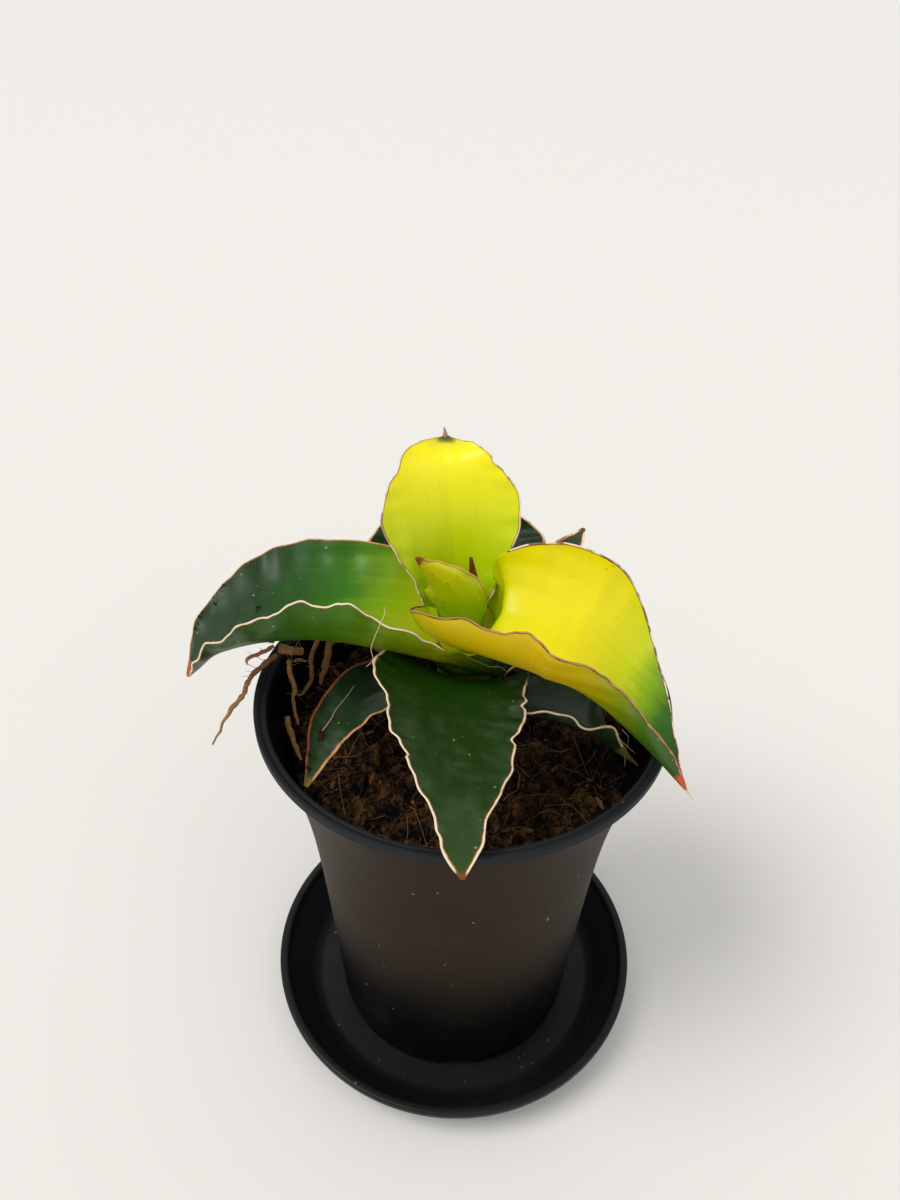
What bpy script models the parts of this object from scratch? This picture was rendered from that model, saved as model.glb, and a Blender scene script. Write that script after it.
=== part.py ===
"""Potted dwarf snake plant: a leaf rosette in a tapered plastic pot on a drip saucer.

Metres, +Z up. The origin is on the pot's axis, at the underside of the saucer.
The viewer's side is -Y. Run it in Blender 4.5, or with
blender --background --python part.py
"""

import math
from collections import namedtuple

import bmesh
import bpy
from mathutils import Matrix, Vector

MM = 0.001
CLEARANCE = 0.3 * MM  # between pieces that touch
TURN_STEPS = 48

# Saucer
SAUCER_RADIUS = 52.5 * MM
SAUCER_HEIGHT = 12.2 * MM
SAUCER_FLOOR = 1.5 * MM
SAUCER_WALL = 1.6 * MM
SAUCER_LIP = 1.2 * MM  # radius of the rounded edge
SAUCER_MARGIN = 7.4 * MM  # clear floor between the pot's foot and the saucer's wall

# Pot
POT_RIM_RADIUS = 50.0 * MM
POT_HEIGHT = 113.2 * MM
POT_BASE_RADIUS = 33.5 * MM
POT_WALL = 1.0 * MM
POT_TAPER = 7.3 * MM  # straight growth of the radius up to the neck
POT_LIP_HEIGHT = 2.4 * MM
POT_LIP_FLARE = 3.6 * MM  # height over which the neck turns out into the lip
POT_LIP_EDGE = 0.4 * MM  # chamfer of the lip's top edges
POT_LEDGE = 2.6 * MM  # flat width of the rim
POT_FOOT_HEIGHT = 3.0 * MM
POT_FOOT_WIDTH = 2.2 * MM
DRAIN_SLOTS = 6
DRAIN_SLOT_WIDTH = 11.0 * MM
DRAIN_SLOT_HEIGHT = 2.4 * MM

# Soil
HEADSPACE = 17.0 * MM  # from the rim down to the soil
SOIL_TILT = 3.0 * MM  # how much the soil rises from the middle to the back left wall
SOIL_RIPPLE = 0.8 * MM

# Plant
STEM_AXIS = Vector((0.0, 7.0 * MM, 0.0))
STEM_RADIUS = 5.0 * MM
STEM_TOP = 2.0 * MM  # above the rim
STEM_BURIED = 14.0 * MM
LEAF_THICKNESS = 1.3 * MM
MARGIN_SHARE = 0.4  # a leaf's edge is this share of its middle thickness
LEAF_STATIONS = 18
LEAF_ACROSS = 8
ROOT_SMOOTHING = 5  # curve points for each stretch between two chosen ones

# The plant's tables were chosen for these sizes, and follow them when they change.
CHOSEN_MOUTH = 46.4 * MM
CHOSEN_HEADSPACE = 17.0 * MM
CHOSEN_STEM = 5.0 * MM
CHOSEN_POT_HEIGHT = 113.2 * MM
CHOSEN_NECK_TOP = 107.2 * MM
CHOSEN_INSIDE = (32.5 * MM, 7.3 * MM, 6.6 * MM)  # the pot's inside: foot, taper and flare
NEAR_STEM = 10.0 * MM  # what lies closer to the stem's axis keeps its place beside the stem
ROOT_DEPTH = 14.0 * MM  # how deep the loose roots hang, just above the soil

POT_BOTTOM = SAUCER_FLOOR + CLEARANCE
RIM_TOP = POT_BOTTOM + POT_HEIGHT
NECK_TOP = POT_HEIGHT - POT_LIP_HEIGHT - POT_LIP_FLARE
MOUTH_RADIUS = POT_RIM_RADIUS - POT_LEDGE - POT_WALL
NECK_RADIUS = MOUTH_RADIUS + POT_WALL
POT_FLARE = NECK_RADIUS - POT_BASE_RADIUS - POT_TAPER
FLARE_POWER = 6  # the last part of the neck turns out quickly

# The leaf table: spine points run from the base to the tip, in millimetres, as x, y and the
# height above the rim. Half widths are at equal steps along the spine, measured over the
# curve of the section. The cup is how far each edge turns up, in degrees, on the side to the
# right and to the left of someone who looks from base to tip. The roll tips the section.
Leaf = namedtuple("Leaf", "name colour spine half_width cup_right cup_left roll facing")

DARK_GREEN = (0.018, 0.065, 0.022)
MID_GREEN = (0.045, 0.16, 0.012)
LIME = (0.42, 0.60, 0.004)
YELLOW = (0.80, 0.68, 0.006)

LEAVES = (
    Leaf(
        "leaf_upright", YELLOW,
        spine=((-2.5, 11.8, 11), (-2.5, 15, 24), (-4, 18.5, 38.5), (-5.5, 23.5, 49.5), (-5.5, 32, 51.5)),
        half_width=(4, 10.5, 17, 10.5, 0.4),
        cup_right=(55, 46, 32, 26), cup_left=(55, 50, 28, 24), roll=(0, 0), facing=(0, -1, 1),
    ),
    Leaf(
        "leaf_young", LIME,
        spine=((0, 6.8, 9), (0, 5.8, 18.5), (-2.5, 4.5, 27.5), (-11.5, 5, 35)),
        half_width=(3.5, 6.5, 7.5, 0.4),
        cup_right=(45, 30), cup_left=(45, 30), roll=(0, 0), facing=(0, 1, 0.3),
    ),
    Leaf(
        "leaf_spike", LIME,
        spine=((3.6, 8.8, 9), (4.6, 8.6, 21), (4, 7.6, 33)),
        half_width=(2, 1.5, 0.3),
        cup_right=(50, 30), cup_left=(50, 30), roll=(0, 0), facing=(0, -1, 0.3),
    ),
    Leaf(
        "leaf_left", MID_GREEN,
        spine=(
            (7, 6.4, 3.4), (-7, 6.5, 9.7), (-24, 5, 14.5), (-41.5, 3.3, 16.5), (-57, 1.5, 12.7), (-66, -1, 3.5),
        ),
        half_width=(13, 19, 23.5, 24, 15, 0.4),
        cup_right=(82, 70, 55, 42, 35), cup_left=(62, 78, 88, 68, 45), roll=(3, -2, 6, 8, 0),
        facing=(0, 0, 1),
    ),
    Leaf(
        "leaf_right", YELLOW,
        spine=((1, 2.3, 11.5), (5, -5, 21), (21, -11.5, 20.5), (34.5, -20, 13), (48, -32, 1.5)),
        half_width=(13.5, 22, 28, 17, 0.4),
        cup_right=(84, 87, 58, 75), cup_left=(130, 88, 71, 45), roll=(-27, 22, 4, -13),
        facing=(-0.3, 0.6, 1),
    ),
    Leaf(
        "leaf_front", DARK_GREEN,
        spine=((0, 1, -3), (-0.5, -5, 8), (-2.5, -16, 11), (-2.5, -29.5, 9.5), (-1, -43.5, 8), (0, -57, 2.5)),
        half_width=(6, 14, 17.5, 15, 8, 0.4),
        cup_right=(31, 27, 23, 10), cup_left=(32, 20, 7, 9), roll=(-2, -16, -5), facing=(0, 1, 1),
    ),
    Leaf(
        "leaf_front_left", DARK_GREEN,
        spine=((-4.2, 3, -8), (-18, -3.5, 3), (-29.5, -16, 3), (-34, -31, -1)),
        half_width=(4, 9, 5, 0.4),
        cup_right=(38, 28), cup_left=(38, 32), roll=(0, 0, 5), facing=(0.7, 0.7, 1),
    ),
    Leaf(
        "leaf_low_right", DARK_GREEN,
        spine=((4.6, 3.3, -9), (13, -5, 1.5), (27, -11, 1.5), (41, -16, -8)),
        half_width=(4, 9, 8, 0.4),
        cup_right=(45, 38), cup_left=(37, 27), roll=(0, 0), facing=(-0.8, 0.6, 1),
    ),
    Leaf(
        "leaf_back", DARK_GREEN,
        spine=((0, 12.8, -4), (-2, 24, 12.5), (-2.5, 34.5, 18), (-3, 44.5, 25.5), (-3, 57, 25.5)),
        half_width=(8, 20.5, 23, 12, 0.4),
        cup_right=(38, 23, 17, 13), cup_left=(38, 23, 18, 13), roll=(0, 0), facing=(0, -1, 1),
    ),
    Leaf(
        "leaf_back_right", DARK_GREEN,
        spine=((4.2, 11, -8), (13, 20.5, 0), (19.5, 29, 6), (25.5, 38, 12), (32, 46.5, 17)),
        half_width=(4, 10, 10, 6, 0.4),
        cup_right=(42, 36), cup_left=(42, 36), roll=(0, 0), facing=(-0.7, -0.7, 1),
    ),
)

# The root table: points in the same frame as the spines, and each root's radius.
Root = namedtuple("Root", "name radius points")
ROOTS = (
    Root("root_knot", 1.4, ((-45.5, 10.5, 2.6), (-43, 10, 2.8), (-40.5, 11, 1.6))),
    Root("root_over_rim", 0.8, (
        (-46.1, 8.5, 2.3), (-49, 4.5, 2.2), (-51.6, 1, 1),
        (-53.5, -1, -2.5), (-57, -3.5, -7), (-61, -6.5, -14),
    )),
    Root("root_hook", 0.6, ((-46.9, 10.1, 3.8), (-50.5, 6.5, 4.2), (-52.5, 5, 4), (-53, 5, 2))),
    Root("root_stub", 0.9, ((-47, 12, 4.3), (-48.6, 11.4, 5.2), (-50, 10.5, 5.8))),
    Root("root_inner", 0.7, (
        (-43.2, 8.4, 0.9), (-43.2, 7.3, -3), (-42, 6, -5), (-42.3, 4, -9), (-41.5, 2, -13), (-41, 1, -14),
    )),
    Root("root_bent", 0.75, (
        (-35.2, 22, -1.5), (-37.5, 18.5, -0.8), (-38.8, 14.3, -4),
        (-38.8, 11.5, -8), (-40.3, 8.5, -10), (-42, 7.3, -9.8),
    )),
    Root("root_link", 0.5, ((-41.9, 9.6, -0.3), (-41, 11.4, -1.8), (-39.8, 12.8, -3))),
    Root("root_thick", 1.3, (
        (-6.5, 8.4, -10), (-15, 14, -5), (-25, 19, -1.5),
        (-33.5, 20.5, -2.5), (-36, 17, -9), (-36.8, 14.3, -12.5),
    )),
    Root("root_wall", 0.9, ((-43.3, -1, -9), (-41.6, -5, -12.3), (-38.8, -10.5, -14.4))),
)


def clear_scene():
    for thing in list(bpy.data.objects):
        bpy.data.objects.remove(thing, do_unlink=True)


def collection(name):
    made = bpy.data.collections.new(name)
    bpy.context.scene.collection.children.link(made)
    return made


def material(name, colour, roughness):
    made = bpy.data.materials.new(name)
    made.use_nodes = True
    shader = made.node_tree.nodes["Principled BSDF"]
    shader.inputs["Base Color"].default_value = (*colour, 1.0)
    shader.inputs["Roughness"].default_value = roughness
    shader.inputs["Metallic"].default_value = 0.0
    made.diffuse_color = (*colour, 1.0)
    return made


def add_object(name, data, home, finish=None):
    made = bpy.data.objects.new(name, data)
    home.objects.link(made)
    if finish:
        data.materials.append(finish)
    return made


def turned(name, profile, home, finish=None):
    """A solid turned about Z from (radius, height) points that run from the top down the outside."""
    mesh = bpy.data.meshes.new(name)
    points = [(radius, 0.0, height) for radius, height in profile]
    mesh.from_pydata(points, [(i, i + 1) for i in range(len(points) - 1)], [])
    made = add_object(name, mesh, home, finish)
    screw = made.modifiers.new("Turn", "SCREW")
    screw.steps = screw.render_steps = TURN_STEPS
    screw.use_merge_vertices = True
    screw.merge_threshold = 1e-6
    screw.use_smooth_shade = True
    return made


def arc(centre, radius, start, end, steps):
    """(radius, height) points along an arc, its angles in degrees."""
    turns = [math.radians(start + (end - start) * i / steps) for i in range(steps + 1)]
    return [(centre[0] + radius * math.cos(a), centre[1] + radius * math.sin(a)) for a in turns]


# --- made pieces ---


def make_saucer(home):
    lip_centre = (SAUCER_RADIUS - SAUCER_LIP, SAUCER_HEIGHT - SAUCER_LIP)
    inner_foot = POT_BASE_RADIUS + SAUCER_MARGIN
    base = inner_foot + SAUCER_WALL
    flare = SAUCER_RADIUS - base
    lip = arc(lip_centre, SAUCER_LIP, 180, -10, 6)
    profile = [(0.0, SAUCER_FLOOR), (inner_foot, SAUCER_FLOOR)]
    profile += [(inner_foot + 0.32 * flare, SAUCER_FLOOR + SAUCER_WALL)]
    profile += lip
    profile += [(base + 0.16 * flare, SAUCER_WALL / 2), (base, 0.0), (0.0, 0.0)]
    return turned("saucer", profile, home, material("saucer_plastic", (0.02, 0.02, 0.02), 0.4))


def flared(share, foot, taper, flare):
    """Radius at this share of the height up to the neck."""
    share = min(max(share, 0.0), 1.0)
    return foot + taper * share + flare * share**FLARE_POWER


def pot_radius(height):
    """Outer radius of the pot's body at this height above its foot."""
    return flared(height / NECK_TOP, POT_BASE_RADIUS, POT_TAPER, POT_FLARE)


def make_pot(home, cutters):
    steps = 12
    heights = [NECK_TOP * (1 - (i / steps) ** 1.5) for i in range(steps + 1)]
    lip_bottom = POT_HEIGHT - POT_LIP_HEIGHT
    floor_top = POT_FOOT_HEIGHT + POT_WALL
    ledge = POT_HEIGHT - POT_LIP_EDGE
    inside = [(pot_radius(h) - POT_WALL, h) for h in reversed(heights) if h > floor_top + POT_WALL]
    profile = [(0.0, floor_top), (pot_radius(floor_top) - POT_WALL, floor_top)] + inside
    profile += [
        (MOUTH_RADIUS + POT_WALL, ledge),
        (POT_RIM_RADIUS - 2 * POT_LIP_EDGE - POT_WALL / 2, ledge),
        (POT_RIM_RADIUS - 2 * POT_LIP_EDGE, POT_HEIGHT),
        (POT_RIM_RADIUS - POT_LIP_EDGE / 2, POT_HEIGHT),
        (POT_RIM_RADIUS, ledge),
        (POT_RIM_RADIUS, lip_bottom),
    ]
    profile += [(pot_radius(h), h) for h in heights]
    foot_inner = POT_BASE_RADIUS - POT_FOOT_WIDTH
    profile += [(foot_inner, 0.0), (foot_inner, POT_FOOT_HEIGHT), (0.0, POT_FOOT_HEIGHT)]
    finish = material("pot_plastic", (0.035, 0.03, 0.025), 0.5)
    pot = turned("pot", [(r, h + POT_BOTTOM) for r, h in profile], home, finish)
    for i in range(DRAIN_SLOTS):
        angle = math.radians(-90 + 360 * i / DRAIN_SLOTS)
        bpy.ops.mesh.primitive_cylinder_add(
            vertices=24, radius=DRAIN_SLOT_WIDTH / 2, depth=4 * POT_FOOT_WIDTH
        )
        cutter = bpy.context.object
        cutter.name = f"drain_slot_{i + 1}"
        cutter.scale = (DRAIN_SLOT_HEIGHT / (DRAIN_SLOT_WIDTH / 2), 1.0, 1.0)
        cutter.rotation_euler = (0.0, math.radians(90), angle)
        cutter.location = (POT_BASE_RADIUS * math.cos(angle), POT_BASE_RADIUS * math.sin(angle), POT_BOTTOM)
        as_cutter(cutter, cutters)
        cut(pot, cutter)
    return pot


def as_cutter(thing, cutters):
    for owner in list(thing.users_collection):
        owner.objects.unlink(thing)
    cutters.objects.link(thing)
    thing.hide_render = True
    thing.display_type = "WIRE"


def cut(thing, cutter):
    boolean = thing.modifiers.new(f"Cut {cutter.name}", "BOOLEAN")
    boolean.operation = "DIFFERENCE"
    boolean.object = cutter
    boolean.solver = "EXACT"


# --- soil ---


def ground(x, y):
    """Height of the soil's surface: a tilt up to the back left, with low ripples."""
    level = RIM_TOP - HEADSPACE
    tilt = SOIL_TILT * (y - x) / (1.4 * POT_RIM_RADIUS)
    ripple = math.sin(420 * x + 1.0) * math.cos(380 * y) + 0.5 * math.sin(900 * x * 0.7 + 700 * y)
    return level + tilt + SOIL_RIPPLE * ripple


def make_soil(home, cutters):
    floor = POT_FOOT_HEIGHT + POT_WALL + CLEARANCE
    top = POT_HEIGHT - HEADSPACE
    steps = round(8 * max(POT_FLARE / CHOSEN_INSIDE[2], 1.0) ** 0.5)
    rings = 9
    heights = [top - (top - floor) * i / steps for i in range(steps + 1)]
    edge = [(pot_radius(h) - POT_WALL - CLEARANCE, h + POT_BOTTOM) for h in heights]
    surface = [(edge[0][0] * i / rings, RIM_TOP - HEADSPACE) for i in range(rings)]
    profile = surface + edge + [(0.0, floor + POT_BOTTOM)]
    finish = material("soil", (0.10, 0.045, 0.015), 0.95)
    rough = turned("soil_turned", profile, home)
    soil = add_object("soil", mesh_of(rough), home, finish)
    bpy.data.objects.remove(rough, do_unlink=True)
    lowest_moved = RIM_TOP - HEADSPACE - MM
    for vertex in soil.data.vertices:
        x, y, z = vertex.co
        if z > lowest_moved:
            lean = pot_radius(ground(x, y) - POT_BOTTOM) / pot_radius(z - POT_BOTTOM)
            at_wall = math.hypot(x, y) > edge[0][0] - MM
            scale = lean if at_wall else 1.0
            vertex.co = (x * scale, y * scale, ground(x, y))
    profile = [(0.0, RIM_TOP)] + stem_profile(CLEARANCE, RIM_TOP)
    socket = turned("stem_socket", profile, cutters)
    socket.location = STEM_AXIS
    as_cutter(socket, cutters)
    cut(soil, socket)
    return soil


def mesh_of(thing):
    """The evaluated mesh of an object, its seams welded."""
    bpy.context.view_layer.update()
    graph = bpy.context.evaluated_depsgraph_get()
    mesh = bpy.data.meshes.new_from_object(thing.evaluated_get(graph))
    shape = bmesh.new()
    shape.from_mesh(mesh)
    bmesh.ops.remove_doubles(shape, verts=shape.verts, dist=1e-6)
    shape.to_mesh(mesh)
    shape.free()
    return mesh


# --- plant ---


def stem_profile(grow, top):
    """The rootstock: a column that swells at the soil and ends in a point below it."""
    soil_top = RIM_TOP - HEADSPACE
    return [
        (STEM_RADIUS + grow, top),
        (STEM_RADIUS * 1.05 + grow, soil_top + 8 * MM),
        (STEM_RADIUS * 1.25 + grow, soil_top),
        (STEM_RADIUS * 1.1 + grow, soil_top - STEM_BURIED / 2),
        (STEM_RADIUS * 0.5 + grow, soil_top - STEM_BURIED - grow),
        (0.0, soil_top - STEM_BURIED - grow),
    ]


def make_rootstock(home):
    top = RIM_TOP + STEM_TOP
    dome = [(0.0, top), (STEM_RADIUS * 0.6, top - 0.4 * MM), (STEM_RADIUS * 0.9, top - 1.6 * MM)]
    profile = dome + stem_profile(0.0, top - 3 * MM)
    stem = turned("rootstock", profile, home, material("rootstock", (0.25, 0.16, 0.06), 0.8))
    stem.location = STEM_AXIS
    return stem


def through(values, share):
    """Catmull-Rom curve through equally spaced numbers or vectors, at this share of its length."""
    last = len(values) - 1
    position = min(max(share, 0.0), 1.0) * last
    i = min(int(position), last - 1)
    f = position - i
    before = values[i - 1] if i > 0 else 2 * values[0] - values[1]
    after = values[i + 2] if i + 2 <= last else 2 * values[last] - values[last - 1]
    here, there = values[i], values[i + 1]
    return 0.5 * (
        2 * here
        + (there - before) * f
        + (2 * before - 5 * here + 4 * there - after) * f**2
        + (3 * here - before - 3 * there + after) * f**3
    )


def depth_below(above_rim):
    """Height above the rim in metres. Below the rim it follows the headspace."""
    depth = 1.0 + (HEADSPACE - CHOSEN_HEADSPACE) / ROOT_DEPTH if above_rim < 0 else 1.0
    return above_rim * MM * depth


def beside_stem(x, y, above_rim, wider):
    """The point moved out from the stem: by what the stem grew near it, and by the spread."""
    out_x, out_y = x - STEM_AXIS.x, y - STEM_AXIS.y
    away = math.hypot(out_x, out_y)
    push = max(away - NEAR_STEM, 0.0) * wider
    if away < NEAR_STEM and above_rim < STEM_TOP:
        push += STEM_RADIUS - CHOSEN_STEM
    return Vector((x + push * out_x / away, y + push * out_y / away, RIM_TOP + above_rim))


def leaf_point(x, y, above_rim):
    """A leaf's table point in metres. Beyond the stem it follows the pot's mouth."""
    wider = MOUTH_RADIUS / CHOSEN_MOUTH - 1.0
    return beside_stem(x * MM, y * MM, depth_below(above_rim), wider)


def root_point(x, y, above_rim):
    """A root's table point in metres. It follows the pot's wall at its own height."""
    height = depth_below(above_rim)
    now = pot_radius(POT_HEIGHT + height) - POT_WALL
    chosen = flared((CHOSEN_POT_HEIGHT + above_rim * MM) / CHOSEN_NECK_TOP, *CHOSEN_INSIDE)
    return beside_stem(x * MM * now / chosen, y * MM * now / chosen, height, 0.0)


def leaf_section(leaf, spine, share):
    """The points across a leaf's upper face at this share of its length, from left to right."""
    step = 0.001
    centre = through(spine, share)
    along = (through(spine, share + step) - through(spine, share - step)).normalized()
    up = Vector(leaf.facing)
    up = (up - along * up.dot(along)).normalized()
    up = Matrix.Rotation(math.radians(through(leaf.roll, share)), 3, along) @ up
    side = along.cross(up)
    half = max(through(leaf.half_width, share), 0.05) * MM
    points = []
    for i in range(LEAF_ACROSS + 1):
        across = 2 * i / LEAF_ACROSS - 1
        cup = math.radians(through(leaf.cup_left if across < 0 else leaf.cup_right, share))
        bend = max(cup * abs(across), 1e-4)
        reach = half * math.sin(bend) / cup
        lift = half * (1 - math.cos(bend)) / cup
        points.append(centre + side * math.copysign(reach, across) + up * lift)
    return points


def make_leaf(leaf, home):
    """A loft through the leaf's sections, thickened downwards and thin at its edges."""
    spine = [leaf_point(*point) for point in leaf.spine]
    shape = bmesh.new()
    rows = []
    for i in range(LEAF_STATIONS + 1):
        section = leaf_section(leaf, spine, i / LEAF_STATIONS)
        rows.append([shape.verts.new(point) for point in section])
    for low, high in zip(rows, rows[1:]):
        for i in range(LEAF_ACROSS):
            shape.faces.new((low[i], low[i + 1], high[i + 1], high[i]))
    mesh = bpy.data.meshes.new(leaf.name)
    shape.to_mesh(mesh)
    shape.free()
    made = add_object(leaf.name, mesh, home, material(leaf.name, leaf.colour, 0.35))
    group = made.vertex_groups.new(name="thickness")
    for row in range(LEAF_STATIONS + 1):
        for i in range(LEAF_ACROSS + 1):
            across = 2 * i / LEAF_ACROSS - 1
            tip = min(1.0, 4 * (1 - row / LEAF_STATIONS))
            weight = MARGIN_SHARE + (1 - MARGIN_SHARE) * (1 - across**2) * tip
            group.add([row * (LEAF_ACROSS + 1) + i], weight, "REPLACE")
    solid = made.modifiers.new("Thickness", "SOLIDIFY")
    solid.thickness = LEAF_THICKNESS
    solid.offset = -1
    solid.vertex_group = group.name
    mesh.shade_smooth()
    return made


def make_root(root, home):
    """A tube along a smooth curve through the root's points."""
    chosen = [root_point(*point) for point in root.points]
    count = ROOT_SMOOTHING * (len(chosen) - 1)
    data = bpy.data.curves.new(root.name, "CURVE")
    data.dimensions = "3D"
    line = data.splines.new("POLY")
    line.points.add(count)
    for i, point in enumerate(line.points):
        point.co = (*through(chosen, i / count), 1.0)
    data.bevel_depth = root.radius * MM
    data.bevel_resolution = 2
    data.use_fill_caps = True
    return add_object(root.name, data, home, material(root.name, (0.30, 0.14, 0.04), 0.8))


def main():
    clear_scene()
    home = collection("potted_snake_plant")
    cutters = collection("cutters")
    make_saucer(home)
    make_pot(home, cutters)
    make_soil(home, cutters)
    make_rootstock(home)
    for leaf in LEAVES:
        make_leaf(leaf, home)
    for root in ROOTS:
        make_root(root, home)


main()
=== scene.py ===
"""The looks of the potted snake plant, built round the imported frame.

Metres, +Z up, and the viewer's side is -Y. A detailed piece stands for each plain CAD node and
keeps its place. Crumbs, fibres, threads and dirt are added to them. The tables are in
millimetres, with heights above the pot's rim.
"""

import math
from collections import namedtuple

import bmesh
import bpy
import numpy as np
from mathutils import Matrix, Quaternion, Vector, noise


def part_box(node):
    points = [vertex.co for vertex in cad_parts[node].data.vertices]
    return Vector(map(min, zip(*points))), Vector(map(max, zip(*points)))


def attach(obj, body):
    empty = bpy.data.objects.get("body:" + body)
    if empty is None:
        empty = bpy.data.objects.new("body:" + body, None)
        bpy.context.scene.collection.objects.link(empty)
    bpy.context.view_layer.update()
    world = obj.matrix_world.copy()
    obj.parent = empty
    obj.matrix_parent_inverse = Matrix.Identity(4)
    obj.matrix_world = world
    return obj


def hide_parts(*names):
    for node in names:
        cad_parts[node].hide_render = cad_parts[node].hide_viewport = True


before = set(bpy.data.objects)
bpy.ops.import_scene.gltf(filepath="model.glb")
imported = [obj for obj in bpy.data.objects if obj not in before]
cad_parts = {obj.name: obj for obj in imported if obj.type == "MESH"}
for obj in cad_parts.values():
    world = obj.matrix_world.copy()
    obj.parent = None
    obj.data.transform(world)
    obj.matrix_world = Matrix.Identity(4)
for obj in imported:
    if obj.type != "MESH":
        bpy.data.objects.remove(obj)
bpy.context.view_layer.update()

MM = 0.001

SAUCER_LOW, SAUCER_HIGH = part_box("saucer")
POT_LOW, POT_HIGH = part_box("pot")
RIM_TOP = POT_HIGH.z
SAUCER_RADIUS = (SAUCER_HIGH.x - SAUCER_LOW.x) / 2
POT_RIM_RADIUS = (POT_HIGH.x - POT_LOW.x) / 2
POT_HEIGHT = POT_HIGH.z - POT_LOW.z

# Pot and saucer walls, as in the CAD
SAUCER_FLOOR = 1.5 * MM
POT_BASE_RADIUS = 33.5 * MM
POT_WALL = 1.0 * MM
POT_TAPER = 7.3 * MM
POT_LIP_HEIGHT = 2.4 * MM
POT_LIP_FLARE = 3.6 * MM
POT_LEDGE = 2.6 * MM
POT_FLARE = POT_RIM_RADIUS - POT_LEDGE - POT_BASE_RADIUS - POT_TAPER
FLARE_POWER = 6
NECK_TOP = POT_HEIGHT - POT_LIP_HEIGHT - POT_LIP_FLARE
SLOT_COUNT = 6
SLOT_WIDTH = 11 * MM
SLOT_HEIGHT = 2.4 * MM
FIRST_SLOT_DEGREES = -88
HEADSPACE = 17.0 * MM
SOIL_TILT = 3.0 * MM
SOIL_RIPPLE = 0.8 * MM
STEM_AXIS = Vector((0.0, 7.0 * MM, 0.0))
STEM_RADIUS = 5.0 * MM

LEAF_THICKNESS = 1.3 * MM
MARGIN_SHARE = 0.2  # the margin's thickness as a share of the leaf's
MARGIN_BEAD = 0.04 * MM
CREASE_MM = 0.35  # depth of the midrib's crease
WOBBLE_MM = 0.07  # height of the blade's faint waves
LEAF_STATIONS = 190
RANDOM = np.random.default_rng(11)
noise.seed_set(11)


# --- colours and nodes ---


def colour(red, green, blue):
    """Linear colour from the 0 to 255 values a screen shows."""
    values = [part / 255 for part in (red, green, blue)]
    return (*[v / 12.92 if v <= 0.04045 else ((v + 0.055) / 1.055) ** 2.4 for v in values], 1.0)


def stops(*pairs):
    """A colour ramp's stops from pairs of a position and a screen colour."""
    return [(position, colour(*value)) for position, value in pairs]


class Nodes:
    """Short calls for building one material's node tree."""

    def __init__(self, name, **settings):
        self.material = bpy.data.materials.new(name)
        self.material.use_nodes = True
        self.tree = self.material.node_tree
        self.shader = self.tree.nodes["Principled BSDF"]
        for socket, value in settings.items():
            self.shader.inputs[socket.replace("_", " ")].default_value = value

    def add(self, kind, sockets=(), **settings):
        """A new node with these settings, and a value or link for each of these sockets."""
        made = self.tree.nodes.new(kind)
        for key, value in settings.items():
            setattr(made, key, value)
        for key, value in dict(sockets).items():
            self.put(made.inputs[key], value)
        return made

    def put(self, socket, value):
        if isinstance(value, bpy.types.NodeSocket):
            self.tree.links.new(value, socket)
        else:
            socket.default_value = value

    def paint(self, skin):
        self.put(self.shader.inputs["Base Color"], skin)

    def math(self, operation, first, second, clamp=False):
        sockets = {0: first, 1: second}
        return self.add("ShaderNodeMath", sockets, operation=operation, use_clamp=clamp).outputs[0]

    def plus(self, first, second, clamp=False):
        return self.math("ADD", first, second, clamp)

    def times(self, first, second):
        return self.math("MULTIPLY", first, second)

    def mix(self, share, first, second, blend="MIX"):
        sockets = {0: share, 6: first, 7: second}
        return self.add("ShaderNodeMix", sockets, data_type="RGBA", blend_type=blend).outputs[2]

    def attribute(self, name, output="Fac"):
        return self.add("ShaderNodeAttribute", attribute_name=name).outputs[output]

    def place(self):
        return self.add("ShaderNodeTexCoord").outputs["Object"]

    def scaled(self, vector, x, y, z):
        return self.add("ShaderNodeVectorMath", {0: vector, 1: (x, y, z)}, operation="MULTIPLY").outputs[0]

    def noise(self, vector, scale, detail, roughness=0.55):
        sockets = {"Vector": vector, "Scale": scale, "Detail": detail, "Roughness": roughness}
        return self.add("ShaderNodeTexNoise", sockets).outputs[0]

    def smooth(self, value, start, end):
        """0 before start and 1 after end, also where start is the larger."""
        sockets = {
            "Value": value, "From Min": min(start, end), "From Max": max(start, end),
            "To Min": float(start > end), "To Max": float(start < end),
        }
        return self.add("ShaderNodeMapRange", sockets, interpolation_type="SMOOTHSTEP").outputs[0]

    def ramp(self, share, stops):
        made = self.add("ShaderNodeValToRGB", {0: share})
        elements = made.color_ramp.elements
        while len(elements) < len(stops):
            elements.new(0.5)
        for element, (position, value) in zip(elements, stops):
            element.position = position
            element.color = value
        return made.outputs[0]

    def bump(self, height, strength, distance):
        made = self.add("ShaderNodeBump", {"Height": height, "Strength": strength, "Distance": distance})
        self.put(self.shader.inputs["Normal"], made.outputs[0])


# --- mesh tools ---


def add_mesh(name, points, faces, finish, attributes=None, smooth=True):
    mesh = bpy.data.meshes.new(name)
    mesh.from_pydata(np.asarray(points).tolist(), [], faces)
    mesh.materials.append(finish)
    for key, values in (attributes or {}).items():
        values = np.asarray(values, np.float32)
        kind = "FLOAT_VECTOR" if values.ndim == 2 else "FLOAT"
        layer = mesh.attributes.new(key, kind, "POINT")
        layer.data.foreach_set("vector" if values.ndim == 2 else "value", values.ravel())
    if smooth:
        mesh.shade_smooth()
    made = bpy.data.objects.new(name, mesh)
    bpy.context.scene.collection.objects.link(made)
    return made


def settle(piece, slot, *nodes):
    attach(piece, "root")
    if nodes:
        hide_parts(*nodes)


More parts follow.
